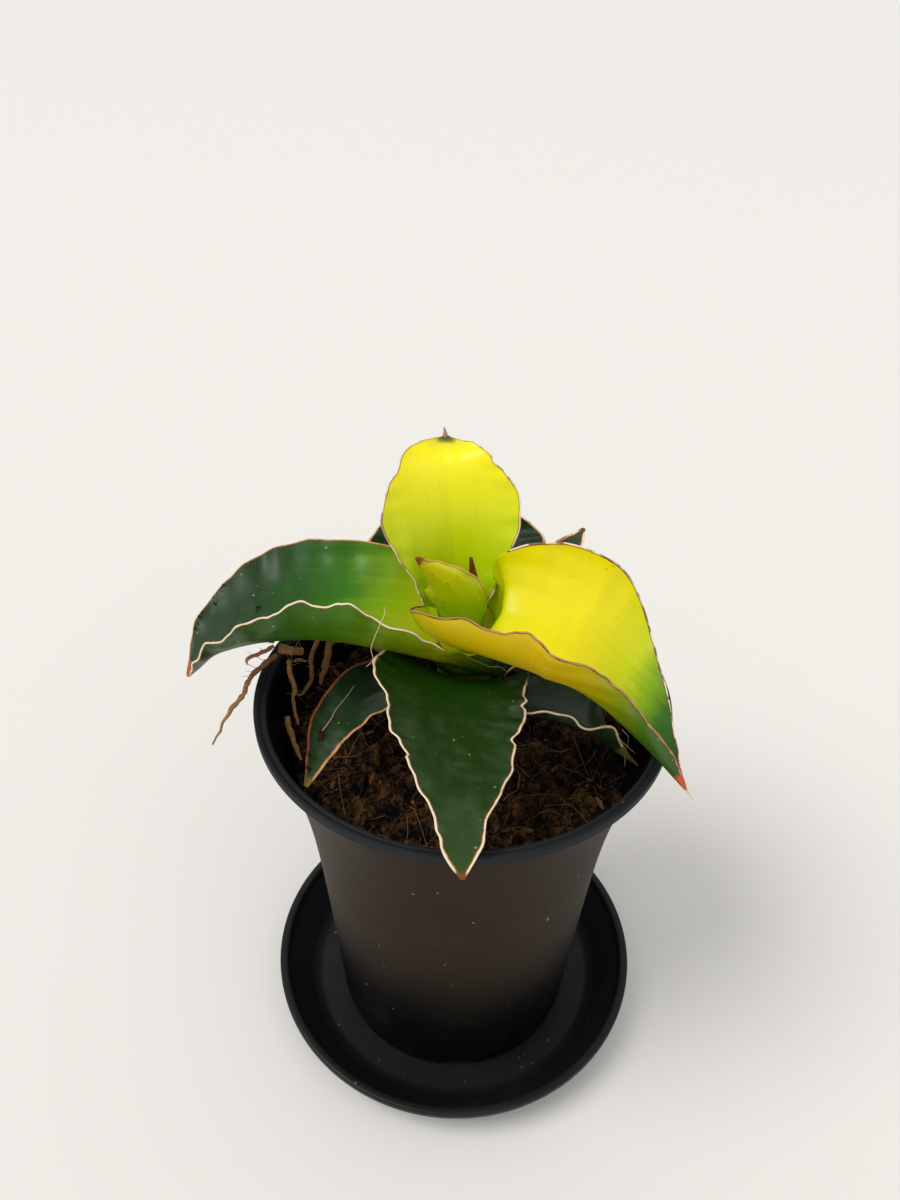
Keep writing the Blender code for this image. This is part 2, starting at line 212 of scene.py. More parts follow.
def through(values, shares):
    """Catmull-Rom curve through equally spaced numbers or points, at these shares of its length."""
    values = np.asarray(values, float)
    last = len(values) - 1
    position = np.clip(shares, 0.0, 1.0) * last
    i = np.minimum(position.astype(int), last - 1)
    f = position - i
    if values.ndim == 2:
        f = f[:, None]
    ends = [2 * values[0] - values[1]], [2 * values[-1] - values[-2]]
    padded = np.concatenate([ends[0], values, ends[1]])
    before, here, there, after = padded[i], padded[i + 1], padded[i + 2], padded[i + 3]
    return 0.5 * (
        2 * here
        + (there - before) * f
        + (2 * before - 5 * here + 4 * there - after) * f**2
        + (3 * here - before - 3 * there + after) * f**3
    )


def unit(vectors):
    return vectors / np.maximum(np.linalg.norm(vectors, axis=-1, keepdims=True), 1e-12)


def smoothstep(low, high, value):
    share = np.clip((value - low) / (high - low), 0.0, 1.0)
    return share * share * (3 - 2 * share)


def waves(pairs, shares):
    """A wavy line through (share, height) pairs, level at each of them and back to 0 at share 1."""
    at, heights = np.array((*pairs, (1, 0)), float).T
    i = np.clip(np.searchsorted(at, shares) - 1, 0, len(at) - 2)
    part = smoothstep(at[i], at[i + 1], shares)
    return heights[i] * (1 - part) + heights[i + 1] * part


def lathe(profile, steps):
    """Points and faces of a solid turned about Z, from axis to axis along the profile."""
    turns = np.linspace(0, 2 * math.pi, steps, endpoint=False)
    points, rings = [], []
    for radius, height in profile:
        if radius < 1e-9:
            rings.append([len(points)] * steps)
            points.append((0.0, 0.0, height))
            continue
        rings.append(list(range(len(points), len(points) + steps)))
        points += [(radius * math.cos(t), radius * math.sin(t), height) for t in turns]
    faces = []
    for low, high in zip(rings, rings[1:]):
        for j in range(steps):
            k = (j + 1) % steps
            face = dict.fromkeys((low[j], high[j], high[k], low[k]))
            faces.append(tuple(face))
    return np.array(points), faces


def rounded(profile, radius, steps=4):
    """The profile with each inner corner rounded by about this radius."""
    path = [profile[0]]
    for before, corner, after in zip(profile, profile[1:], profile[2:]):
        before, corner, after = (np.array(p, float) for p in (before, corner, after))
        to_before, to_after = before - corner, after - corner
        reach = min(radius, np.linalg.norm(to_before) / 2.2, np.linalg.norm(to_after) / 2.2)
        start = corner + unit(to_before) * reach
        end = corner + unit(to_after) * reach
        for i in range(steps + 1):
            t = i / steps
            path.append(tuple((1 - t) ** 2 * start + 2 * t * (1 - t) * corner + t**2 * end))
    return path + [profile[-1]]


def wrapped(rows, size):
    """Faces of the closed skin over rows of rings of this many points."""
    faces = []
    for low in range(0, (rows - 1) * size, size):
        high = low + size
        for j in range(size):
            k = (j + 1) % size
            faces.append((low + j, low + k, high + k, high + j))
    last = (rows - 1) * size
    return faces + [tuple(range(size - 1, -1, -1)), tuple(range(last, last + size))]


def tube(path, radii, sides):
    """Points and faces of a closed tube along the path."""
    path = np.asarray(path, float)
    radii = np.broadcast_to(radii, len(path))
    along = unit(np.gradient(path, axis=0))
    normal = np.cross(along[0], (0.3, 0.5, 0.8))
    turns = np.linspace(0, 2 * math.pi, sides, endpoint=False)
    points = []
    for i, centre in enumerate(path):
        normal = normal - along[i] * (normal @ along[i])
        normal = normal / np.linalg.norm(normal)
        other = np.cross(along[i], normal)
        ring = np.outer(np.cos(turns), normal) + np.outer(np.sin(turns), other)
        points.append(centre + ring * radii[i])
    return np.concatenate(points), wrapped(len(path), sides)


def joined(parts):
    """One set of points and faces from several, with the number of points in each."""
    points, faces, counts, offset = [], [], [], 0
    for part_points, part_faces in parts:
        points.append(part_points)
        faces += [tuple(i + offset for i in face) for face in part_faces]
        counts.append(len(part_points))
        offset += len(part_points)
    return np.concatenate(points), faces, counts


def ball(subdivisions):
    shape = bmesh.new()
    bmesh.ops.create_icosphere(shape, subdivisions=subdivisions, radius=1.0)
    points = np.array([v.co for v in shape.verts])
    faces = [tuple(v.index for v in f.verts) for f in shape.faces]
    shape.free()
    return points, faces


def turned_randomly(points):
    turn = Quaternion(unit(RANDOM.normal(size=4))).to_matrix()
    return points @ np.array(turn).T


def add_parts(name, parts, tones, finish, slot, *nodes, smooth=True):
    """One piece from many parts, each with its own tone."""
    points, faces, counts = joined(parts)
    settle(add_mesh(name, points, faces, finish, {"tone": np.repeat(tones, counts)}, smooth), slot, *nodes)


# --- leaves ---

# spine to roll are the CAD's leaf. ruffle is how far the margin waves up and down, in mm, and how
# many waves there are along the leaf. edge_left and edge_right are (share of the length, mm)
# pairs: how far the margin's lobes stand out.
Leaf = namedtuple(
    "Leaf", "name slot spine half_width cup_right cup_left facing ruffle roll edge_left edge_right",
    defaults=((0, 0), ((0, 0),), ((0, 0),)),
)

LEAVES = (
    Leaf(
        "leaf_upright", "yellow_leaf",
        spine=((-2.5, 11.8, 11), (-2.5, 15, 24), (-4, 18.5, 38.5), (-5.5, 23.5, 49.5), (-5.5, 32, 51.5)),
        half_width=(4, 10.5, 17, 10.5, 0.4),
        cup_right=(55, 46, 32, 26), cup_left=(55, 50, 28, 24), facing=(0, -1, 1),
        edge_left=(
            (0, 2.4), (0.13, 2.0), (0.28, 0.7), (0.42, 0), (0.52, 0.4), (0.6, -0.1), (0.66, 0.3),
            (0.7, -0.5), (0.78, 0.3), (0.86, 0),
        ),
        edge_right=(
            (0, 1.4), (0.17, 1.3), (0.3, 0.8), (0.39, 0.4), (0.5, 0), (0.58, 0.5), (0.66, 0.1),
            (0.71, -0.4), (0.75, 0.4), (0.79, 0.1), (0.86, 0.5),
        ),
        ruffle=(0.16, 8),
    ),
    Leaf(
        "leaf_young", "lime_leaf",
        spine=((0, 6.8, 9), (0, 5.8, 18.5), (-2.5, 4.5, 27.5), (-11.5, 5, 35)),
        half_width=(3.5, 6.5, 7.5, 0.4),
        cup_right=(45, 30), cup_left=(45, 30), facing=(0, 1, 0.3),
        edge_left=(
            (0, -0.4), (0.25, -1.4), (0.42, -1.6), (0.55, -2.2), (0.68, -2.2), (0.8, -1.5), (0.9, -0.6),
        ),
        edge_right=((0, 0.8), (0.3, 1.6), (0.55, 2.4), (0.75, 1.8), (0.88, 0.2)),
        ruffle=(0.3, 5),
    ),
    Leaf(
        "leaf_spike", "dry_leaf",
        spine=((2.6, 9, 9), (2.3, 9.2, 21), (0.9, 8.6, 33)),
        half_width=(2, 1.5, 0.3),
        cup_right=(50, 30), cup_left=(50, 30), facing=(0, -1, 0.3),
        ruffle=(0, 1),
    ),
    Leaf(
        "leaf_left", "green_leaf",
        spine=(
            (7, 6.4, 3.4), (-7, 6.5, 9.7), (-24, 5, 14.5), (-41.5, 3.3, 16.5), (-57, 1.5, 12.7),
            (-66, -1, 3.5),
        ),
        half_width=(13, 19, 23.5, 24, 15, 0.4),
        cup_right=(82, 70, 55, 42, 35), cup_left=(62, 78, 88, 68, 45), roll=(3, -2, 6, 8, 0),
        facing=(0, 0, 1),
        edge_left=(
            (0, 0), (0.22, -0.8), (0.28, -1.4), (0.31, -0.4), (0.33, -0.5), (0.38, -1.3),
            (0.41, -0.9), (0.46, 1.2), (0.48, 0.5), (0.51, -1.0), (0.53, -0.9), (0.555, 0.3),
            (0.575, -0.1), (0.6, -1.6), (0.62, -2.6), (0.655, -3.1), (0.685, -2.1), (0.71, -3.4),
            (0.74, -4.1), (0.765, -3.5), (0.785, -2.1), (0.82, -1.9), (0.88, -0.6),
        ),
        edge_right=(
            (0, 0), (0.35, 0.5), (0.43, 0.6), (0.5, 0.3), (0.55, 0.7), (0.59, 0.4), (0.66, 1.3),
            (0.72, 1.5), (0.76, 0.7), (0.8, 0.5), (0.85, -0.3), (0.89, 0.2), (0.94, -0.1),
        ),
        ruffle=(0.5, 8),
    ),
    Leaf(
        "leaf_right", "yellow_leaf",
        spine=((1, 2.3, 11.5), (5, -5, 21), (21, -11.5, 20.5), (34.5, -20, 13), (48, -32, 1.5)),
        half_width=(13.5, 22, 28, 17, 0.4),
        cup_right=(84, 87, 58, 75), cup_left=(130, 88, 71, 45), roll=(-27, 22, 4, -13),
        facing=(-0.3, 0.6, 1),
        edge_left=(
            (0, 1.5), (0.1, 1.5), (0.16, 0.3), (0.22, -0.4), (0.3, 0), (0.42, 0.2), (0.5, 0),
            (0.62, -0.2), (0.78, -0.3), (0.9, -0.1),
        ),
        edge_right=(
            (0, -0.6), (0.18, -1.3), (0.26, -1.0), (0.3, 0.1), (0.34, -1.5), (0.365, -1.2),
            (0.4, 0.6), (0.42, 1.0), (0.45, 0.2), (0.49, -0.7), (0.54, -1.3), (0.59, 0.3),
            (0.62, -0.5), (0.65, -1.0), (0.69, -0.1), (0.72, 0.2), (0.75, -0.5), (0.78, -0.5),
            (0.85, 0.1), (0.92, 0.3),
        ),
        ruffle=(0.25, 9),
    ),
    Leaf(
        "leaf_front", "dark_leaf",
        spine=(
            (0, 1, -3), (-0.5, -5, 8), (-2.5, -16, 11), (-2.5, -29.5, 9.5), (-1, -43.5, 8), (0, -57, 2.5),
        ),
        half_width=(6, 14, 17.5, 15, 8, 0.4),
        cup_right=(31, 27, 23, 10), cup_left=(32, 20, 7, 9), roll=(-2, -16, -5), facing=(0, 1, 1),
        edge_left=(
            (0, 2.0), (0.08, 3.6), (0.15, 3.0), (0.21, 1.4), (0.26, -0.1), (0.29, -0.6), (0.33, -1.4),
            (0.36, -0.9), (0.385, -2.0), (0.41, -1.2), (0.45, -1.2), (0.49, -1.7), (0.525, -2.9),
            (0.545, -1.7), (0.58, -1.5), (0.65, -0.3), (0.7, -0.6), (0.75, -0.4), (0.83, -1.0), (0.91, 0.6),
        ),
        edge_right=(
            (0, 0), (0.3, 2.6), (0.36, 2.6), (0.41, 1.8), (0.45, 0.7), (0.475, -1.6), (0.495, -1.8),
            (0.54, -0.5), (0.59, -0.4), (0.64, -0.8), (0.665, -2.1), (0.685, -0.7), (0.73, -0.1),
            (0.78, -0.6), (0.83, -1.1), (0.88, -0.2), (0.92, 0.8), (0.96, 0.7),
        ),
        ruffle=(0.35, 11),
    ),
    Leaf(
        "leaf_front_left", "dark_leaf",
        spine=((-4.2, 3, -8), (-18, -3.5, 3), (-29.5, -16, 3), (-34, -31, -1)),
        half_width=(4, 9, 5, 0.4),
        cup_right=(38, 28), cup_left=(38, 32), roll=(0, 0, 5), facing=(0.7, 0.7, 1),
        edge_left=((0, 0), (0.4, 0.3), (0.5, 0), (0.6, 0.4), (0.8, 0.2)),
        edge_right=((0, 0), (0.4, 0.3), (0.55, 0), (0.7, 0.3), (0.85, 0.1)),
        ruffle=(0.3, 6),
    ),
    Leaf(
        "leaf_low_right", "dark_leaf",
        spine=((4.6, 3.3, -9), (13, -5, 1.5), (27, -11, 1.5), (41, -16, -8)),
        half_width=(4, 9, 8, 0.4),
        cup_right=(45, 38), cup_left=(37, 27), facing=(-0.8, 0.6, 1),
        edge_left=((0, 0), (0.35, 1.5), (0.5, 4.5), (0.7, 6.0), (0.85, 4.0), (0.95, 1.5)),
        edge_right=((0, 0), (0.4, -0.6), (0.55, 0.9), (0.68, -0.9), (0.78, 0.7), (0.86, -0.5)),
        ruffle=(0.8, 5),
    ),
    Leaf(
        "leaf_back", "dark_leaf",
        spine=((0, 12.8, -4), (-2, 24, 12.5), (-2.5, 34.5, 18), (-3, 44.5, 25.5), (-3, 57, 25.5)),
        half_width=(8, 20.5, 23, 12, 0.4),
        cup_right=(38, 23, 17, 13), cup_left=(38, 23, 18, 13), facing=(0, -1, 1),
        edge_left=((0, 0), (0.35, 0.6), (0.45, -0.4), (0.6, 0.5), (0.7, -0.6), (0.85, 0.3)),
        edge_right=((0, 0), (0.3, 0.5), (0.42, -0.5), (0.55, 0.6), (0.72, -0.5), (0.85, 0.3)),
        ruffle=(0.5, 8),
    ),
    Leaf(
        "leaf_back_right", "dark_leaf",
        spine=((4.2, 11, -8), (13, 20.5, 0), (19.5, 29, 6), (25.5, 38, 12), (32, 46.5, 17)),
        half_width=(4, 10, 10, 6, 0.4),
        cup_right=(42, 36), cup_left=(42, 36), facing=(-0.7, -0.7, 1),
        edge_left=((0, 0), (0.4, 0.4), (0.55, -0.3), (0.7, 0.4)),
        edge_right=((0, 0), (0.35, 0.4), (0.5, -0.4), (0.68, 0.4)),
        ruffle=(0.5, 7),
    ),
)


def leaf_across():
    """Places across a leaf from -1 at its left margin to 1 at its right, closest near the margins."""
    half = np.concatenate([np.linspace(0, 0.9, 19), [0.93, 0.95, 0.965, 0.98, 0.99, 1.0]])
    return np.concatenate([-half[:0:-1], half])


def leaf_upper(leaf, shares, across):
    """(points, flat coordinates in mm, distance to the margin in mm) of the upper face."""
    spine = np.array(leaf.spine, float) * MM + [0, 0, RIM_TOP]
    centre = through(spine, shares)
    step = 0.001
    along = unit(through(spine, shares + step) - through(spine, shares - step))
    facing = np.array(leaf.facing, float)
    up = unit(facing - along * (along @ facing)[:, None])
    roll = np.radians(through(leaf.roll, shares))[:, None]
    up = up * np.cos(roll) + np.cross(along, up) * np.sin(roll)
    side = np.cross(along, up)
    base_half = np.maximum(through(leaf.half_width, shares), 0.05)
    length = np.concatenate([[0], np.cumsum(np.linalg.norm(np.diff(centre, axis=0), axis=1))]) / MM
    columns, flats, insets = [], [], []
    height, count = leaf.ruffle
    for a in across:
        left = a < 0
        cup = np.radians(through(leaf.cup_left if left else leaf.cup_right, shares))
        lobes = waves(leaf.edge_left if left else leaf.edge_right, shares)
        outer = smoothstep(0.35, 1.0, abs(a))
        reached = abs(a) + np.clip(lobes * outer / base_half, -0.4, 0.8)
        bend = np.maximum(cup * reached, 1e-4)
        reach = base_half * np.sin(bend) / cup * math.copysign(1, a)
        lift = base_half * (1 - np.cos(bend)) / cup
        inward = up * np.cos(bend)[:, None] - side * (np.sin(bend) * math.copysign(1, a))[:, None]
        phase = 0.0 if left else 1.9
        turn = 2 * math.pi * count * shares + phase
        ruffle = height * outer**2 * (np.sin(turn) + 0.7 * np.sin(1.62 * turn + 2 * phase)) / 1.4
        crease = -CREASE_MM * np.exp(-((a * base_half / 1.1) ** 2)) * smoothstep(1.0, 0.6, shares)
        wobble = WOBBLE_MM * np.sin(1.1 * a * base_half + 0.9) * (1 + np.sin(0.16 * length + 2 * a))
        shift = (ruffle + wobble + crease) * np.minimum(1.0, base_half / 5)
        columns.append(centre + side * (reach * MM)[:, None] + up * (lift * MM)[:, None]
                       + inward * (shift * MM)[:, None])
        flats.append(np.stack([a * base_half, length, np.zeros_like(length)], -1))
        insets.append((1 - abs(a)) * base_half)
    return np.stack(columns, 1), np.stack(flats, 1), np.stack(insets, 1)


def leaf_solid(leaf, look):
    """Points, faces and attributes of the whole leaf: two faces with a rounded margin between."""
    shares = 1 - (1 - np.linspace(0, 1, LEAF_STATIONS + 1)) ** 1.15
    across = leaf_across()
    upper, flat, inset = leaf_upper(leaf, shares, across)
    over = np.gradient(upper, axis=1)
    on = np.gradient(upper, axis=0)
    normal = unit(np.cross(over, on))
    tip = np.minimum(1.0, 4 * (1 - shares))[:, None]
    weight = MARGIN_SHARE + (1 - MARGIN_SHARE) * (1 - across**4) * tip
    taper = np.minimum(1.0, 0.35 + np.maximum(through(leaf.half_width, shares), 0.05) / 3)[:, None]
    thickness = LEAF_THICKNESS * weight * taper
    bead = MARGIN_BEAD * np.exp(-inset / 0.4) * taper
    top = upper + normal * bead[..., None]
    bottom = upper - normal * (thickness + bead)[..., None]
    outward = unit(over[:, -1]), unit(-over[:, 0])
    edges = []
    for column, direction in zip((-1, 0), outward):
        middle = (top[:, column] + bottom[:, column]) / 2
        gap = np.linalg.norm(top[:, column] - bottom[:, column], axis=1)
        edges.append((middle + direction * (gap / 2)[:, None])[:, None])
    rings = np.concatenate([top, edges[0], bottom[:, ::-1], edges[1]], 1)
    count, size = rings.shape[:2]
    flat_all = np.concatenate([flat, flat[:, -1:], flat[:, ::-1] + [0, 0, 40], flat[:, :1]], 1)
    inset_all = np.concatenate([inset, inset[:, -1:] * 0, inset[:, ::-1], inset[:, :1] * 0], 1)
    under = np.tile(np.repeat((0.0, 0.5, 1.0, 0.5), (len(across), 1, len(across), 1)), count)
    place = np.concatenate([across, [1], across[::-1], [-1]])
    start = np.where(place < 0, *look.starts)
    started = smoothstep(start - 0.05, start + 0.03, shares[:, None])
    border = inset_all - np.where(place < 0, *look.margin) * taper * started + 0.6 * (1 - started)
    attributes = {
        "flat": flat_all.reshape(-1, 3),
        "share": np.repeat(shares, size),
        "across": np.tile(place, count),
        "under": under,
        "border": border.ravel(),
        "from_tip": (flat_all[-1:, :, 1] - flat_all[..., 1]).ravel(),
    }
    return rings.reshape(-1, 3), wrapped(count, size), attributes


CREAM = colour(246, 226, 196)
TAN = colour(206, 158, 112)
STRAW = colour(196, 176, 70)
RUST = colour(122, 62, 34)
ORANGE_BROWN = colour(168, 92, 46)
DARK_RUST = colour(100, 38, 22)
# Grey-green of a waxy bloom, also used as a painted sheen that stands in for the light's reflection on the
# leaves.
BLOOM_SHEEN = colour(104, 124, 92)

# How a leaf looks. top and under are colours along the leaf. Its dry margins are margin mm wide
# and start at starts, a share of the length, both left and right. green_edge moves the colours
# near them towards the tip's. rust is how much of the dry margin (rind) is as dark as its line.
# The bloom setting is how strongly grey-green patches show: partly a waxy bloom, partly a painted sheen.
Look = namedtuple(
    "Look",
    "top under margin starts streaks green_edge rind rust line line_mm tip tip_mm bloom specks gloss",
    defaults=((0.1, 0.1), 0.1, 0.0, (CREAM, CREAM), 0.3, ORANGE_BROWN, 0.2, RUST, 1.2, 0.0, 0.1, 0.25),
)


DARK = stops(
    (0, (20, 48, 4)), (0.3, (24, 60, 4)), (0.5, (24, 56, 12)), (0.75, (34, 62, 26)), (1, (50, 74, 28)),
)
DARK_BLUE = stops((0, (20, 44, 20)), (0.5, (26, 50, 28)), (0.85, (40, 62, 32)), (1, (66, 80, 34)))
SHADE = stops((0, (26, 56, 12)), (0.5, (24, 50, 20)), (1, (36, 60, 30)))
SPIKE = stops((0, (150, 170, 10)), (0.6, (150, 150, 20)), (0.75, (150, 85, 30)), (1, (110, 50, 25)))

LOOKS = {
    "leaf_upright": Look(
        stops(
            (0, (146, 186, 0)), (0.25, (184, 212, 0)), (0.42, (210, 222, 0)), (0.58, (238, 234, 0)),
            (0.8, (255, 240, 0)), (0.89, (240, 226, 2)), (0.925, (120, 132, 24)), (0.96, (54, 80, 28)),
        ),
        stops((0, (150, 175, 10)), (0.6, (200, 210, 10)), (0.9, (215, 210, 20)), (1, (60, 80, 30))),
        margin=(0.16, 0.16), streaks=0.05, green_edge=-0.05, rust=0.4, line=colour(150, 100, 50),
        line_mm=0.22, tip_mm=0.4, specks=0.25, gloss=0.4,
    ),
    "leaf_young": Look(
        stops((0, (150, 180, 0)), (0.6, (170, 190, 0)), (0.9, (205, 200, 5)), (1, (150, 110, 30))),
        stops(
            (0, (140, 176, 0)), (0.5, (160, 186, 0)), (0.75, (188, 196, 0)), (0.93, (206, 196, 4)),
            (1, (140, 84, 30)),
        ),
        margin=(0.14, 0.12), starts=(0.45, 0.5), streaks=0.12, green_edge=0.05, rind=(STRAW, STRAW),
        rust=0.35, line=colour(150, 110, 30), tip=colour(130, 66, 30), tip_mm=1.7, specks=0.9, gloss=0.4,
    ),
    "leaf_spike": Look(
        SPIKE, SPIKE, margin=(0.15, 0.15), rust=1.0, line=RUST, line_mm=0.1,
        tip=colour(120, 55, 25), tip_mm=4.0, specks=0.3, gloss=0.3,
    ),
    "leaf_left": Look(
        stops(
            (0, (196, 200, 2)), (0.26, (176, 192, 0)), (0.37, (124, 164, 0)), (0.47, (56, 118, 2)),
            (0.57, (34, 86, 8)), (0.7, (30, 60, 26)), (1, (42, 64, 40)),
        ),
        stops(
            (0, (30, 62, 16)), (0.16, (58, 84, 10)), (0.27, (150, 156, 4)), (0.38, (116, 144, 4)),
            (0.5, (68, 112, 6)), (0.66, (40, 82, 4)), (0.85, (42, 70, 18)), (1, (56, 72, 30)),
        ),
        margin=(0.16, 0.1), starts=(0.22, 0.15), streaks=0.09, green_edge=0.05, rind=(CREAM, TAN), rust=0.1,
        line=colour(150, 80, 45), line_mm=0.16, tip=colour(165, 84, 56), tip_mm=2.6, bloom=0.12,
        specks=0.12, gloss=0.22,
    ),
    "leaf_right": Look(
        stops(
            (0, (160, 190, 0)), (0.2, (196, 204, 0)), (0.3, (228, 220, 2)), (0.42, (240, 226, 0)),
            (0.56, (232, 220, 0)), (0.7, (196, 206, 0)), (0.78, (124, 164, 0)), (0.85, (48, 102, 10)),
            (1, (30, 66, 24)),
        ),
        stops(
            (0, (176, 178, 4)), (0.2, (204, 184, 0)), (0.5, (214, 180, 0)), (0.62, (196, 174, 0)),
            (0.74, (128, 146, 2)), (0.84, (62, 106, 8)), (1, (40, 80, 24)),
        ),
        margin=(0.2, 0.14), starts=(0.27, 0.08), streaks=0.06, green_edge=0.04, rind=(CREAM, TAN), rust=0.5,
        line=DARK_RUST, tip=colour(196, 86, 30), tip_mm=4.2, specks=0.35, gloss=0.28,
    ),
    "leaf_front": Look(
        DARK, SHADE, margin=(0.3, 0.32), starts=(0.25, 0.27), streaks=0.07, green_edge=0.04, rust=0.0,
        bloom=0.26, specks=0.05, gloss=0.22,
    ),
    "leaf_front_left": Look(
        DARK_BLUE, SHADE, margin=(0.34, 0.14), streaks=0.08, rind=(TAN, RUST), line_mm=0.18,
        tip=colour(120, 96, 40), tip_mm=2.0, bloom=0.25, specks=0.15,
    ),
    "leaf_low_right": Look(
        DARK_BLUE, SHADE, margin=(0.2, 0.2), starts=(0.9, 0.1), rust=0.15, tip=colour(120, 112, 50),
        tip_mm=7.0, bloom=0.25, specks=0.25,
    ),
    "leaf_back": Look(DARK_BLUE, SHADE, margin=(0.4, 0.4), line_mm=0.25, tip_mm=1.5, bloom=0.3),
    "leaf_back_right": Look(
        DARK_BLUE, SHADE, margin=(0.45, 0.45), rust=0.35, line_mm=0.25, tip=colour(74, 58, 38), bloom=0.25,
    ),
}


def leaf_material(name, look):
    n = Nodes(name, Roughness=0.4, Subsurface_Weight=0.12, Subsurface_Scale=0.0016,
              Specular_IOR_Level=look.gloss)
    n.shader.inputs["Subsurface Radius"].default_value = (0.8, 1.0, 0.3)
    n.shader.inputs["Coat Weight"].default_value = 0.05
    n.shader.inputs["Coat Roughness"].default_value = 0.22
    flat = n.attribute("flat", "Vector")
    share = n.attribute("share")
    across = n.attribute("across")
    streak = n.noise(n.scaled(flat, 0.8, 0.045, 1), 1.0, 3)
    mottle = n.noise(n.scaled(flat, 0.13, 0.09, 1), 1.0, 4)
    drift = n.plus(n.plus(streak, -0.5), n.plus(mottle, -0.5))
    edge = n.times(n.times(across, across), look.green_edge)
    moved = n.plus(n.plus(share, n.times(drift, look.streaks)), edge)
    skin = n.mix(n.attribute("under"), n.ramp(moved, look.top), n.ramp(moved, look.under))
    veins = n.noise(n.scaled(flat, 2.6, 0.05, 1), 1.0, 2)
    bands = n.noise(n.scaled(flat, 0.09, 0.42, 1), 1.0, 3)
    tone = n.plus(0.86, n.plus(n.times(veins, 0.16), n.times(bands, 0.12)))
    skin = n.mix(1.0, skin, n.ramp(tone, stops((0, (0, 0, 0)), (1, (255, 255, 255)))), "MULTIPLY")
    # Grey-green patches laid into the colour: a waxy bloom and a painted sheen in place of the light's
    # reflection.
    if look.bloom:
        bloom_sheen_patch = n.times(n.smooth(mottle, 0.4, 0.68), n.smooth(bands, 0.3, 0.7))
        bloom_sheen_patch = n.times(bloom_sheen_patch, n.smooth(share, 0.25, 0.6))
        skin = n.mix(n.times(bloom_sheen_patch, look.bloom), skin, BLOOM_SHEEN)
    speck = n.smooth(n.noise(flat, 1.5, 1), 0.715, 0.75)
    skin = n.mix(n.times(speck, look.specks), skin, colour(48, 34, 14))
    pale = n.smooth(n.noise(flat, 0.9, 0), 0.8, 0.84)
    skin = n.mix(n.times(pale, 0.35), skin, colour(190, 196, 150))
    wave = n.times(n.plus(n.noise(flat, 0.55, 2), -0.5), 0.5)
    border = n.plus(n.attribute("border"), wave)
    skin = n.mix(n.smooth(border, look.line_mm + 0.12, look.line_mm - 0.1), skin, look.line)
    patches = n.noise(n.scaled(flat, 0.5, 0.22, 1), 1.0, 3)
    patches = n.smooth(patches, 0.62 - 0.35 * look.rust, 0.72 - 0.3 * look.rust)
    rind = n.mix(n.smooth(across, -0.05, 0.05), *look.rind)
    rind = n.mix(n.times(patches, min(1.0, 0.35 + look.rust)), rind, look.line)
    is_rind = n.smooth(border, 0.07, -0.05)
    skin = n.mix(is_rind, skin, rind)
    dry = n.plus(n.attribute("from_tip"), n.times(n.plus(veins, -0.5), 1.6))
    skin = n.mix(n.smooth(dry, look.tip_mm + 0.5, look.tip_mm - 0.5), skin, look.tip)
    n.paint(skin)
    rough = n.plus(0.3, n.plus(n.times(mottle, 0.16), n.times(is_rind, 0.25)))
    n.put(n.shader.inputs["Roughness"], rough)
    grain = n.noise(n.scaled(flat, 3.5, 0.4, 1), 1.0, 3)
    n.bump(n.plus(n.times(veins, 0.7), n.times(grain, 0.4)), 0.35, 0.00012)
    return n.material


def make_leaf(leaf):
    look = LOOKS[leaf.name]
    points, faces, attributes = leaf_solid(leaf, look)
    made = add_mesh(leaf.name + "_skin", points, faces, leaf_material(leaf.name, look), attributes)
    settle(made, leaf.slot, leaf.name)


# --- plastic ---


def pot_radius(height):
    share = min(max(height / NECK_TOP, 0.0), 1.0)
    return POT_BASE_RADIUS + POT_TAPER * share + POT_FLARE * share**FLARE_POWER


def plastic(name, low, high, low_z, high_z, rough, shine):
    """Moulded black plastic: its colour from low_z to high_z, scuffs, dust and a fine texture."""
    n = Nodes(name, Roughness=rough, Specular_IOR_Level=shine)
    place = n.place()
    height = n.add("ShaderNodeSeparateXYZ", {0: place}).outputs[2]
    cloud = n.noise(place, 28, 4)
    level = n.plus(height, n.times(n.plus(cloud, -0.5), 0.02))
    below_lip = n.smooth(height, RIM_TOP - 3.4 * MM, RIM_TOP - 5.2 * MM)
    # On the pot the body's colour is painted light: the near-black low colour towards the foot is painted
    # shade, and the brown high colour higher up is a painted warm reflection. Inner faces and the lip keep
    # the low colour.
    body = n.times(n.smooth(level, low_z, high_z), below_lip)
    vectors = {0: n.add("ShaderNodeTexCoord").outputs["Normal"], 1: n.scaled(place, 1, 1, 0)}
    facing = n.add("ShaderNodeVectorMath", vectors, operation="DOT_PRODUCT")
    body = n.times(body, n.smooth(facing.outputs["Value"], 0.0, 0.01))
    skin = n.mix(body, low, high)
    # The lip is painted a lighter blue-grey: a painted sheen on its top surfaces.
    skin = n.mix(n.smooth(height, RIM_TOP - 3.4 * MM, RIM_TOP - 1.2 * MM), skin, colour(34, 37, 40))
    dust = n.times(n.smooth(n.noise(place, 60, 6, 0.7), 0.5, 0.75), 0.1)
    skin = n.mix(dust, skin, colour(84, 74, 60))
    scuff = n.smooth(n.noise(n.scaled(place, 300, 300, 1400), 1.0, 2), 0.76, 0.8)
    skin = n.mix(n.times(scuff, 0.25), skin, colour(120, 116, 108))
    speck = n.smooth(n.noise(place, 520, 0), 0.85, 0.88)
    skin = n.mix(n.times(speck, 0.6), skin, colour(150, 130, 104))
    n.paint(skin)
    worn = n.plus(rough - 0.06, n.times(cloud, 0.14))
    n.put(n.shader.inputs["Roughness"], worn)
    fine = n.noise(place, 2600, 2)
    rings = n.noise(n.scaled(place, 4, 4, 900), 1.0, 2)
    n.bump(n.plus(fine, n.times(rings, 0.5)), 0.12, 0.00012)
    return n.material


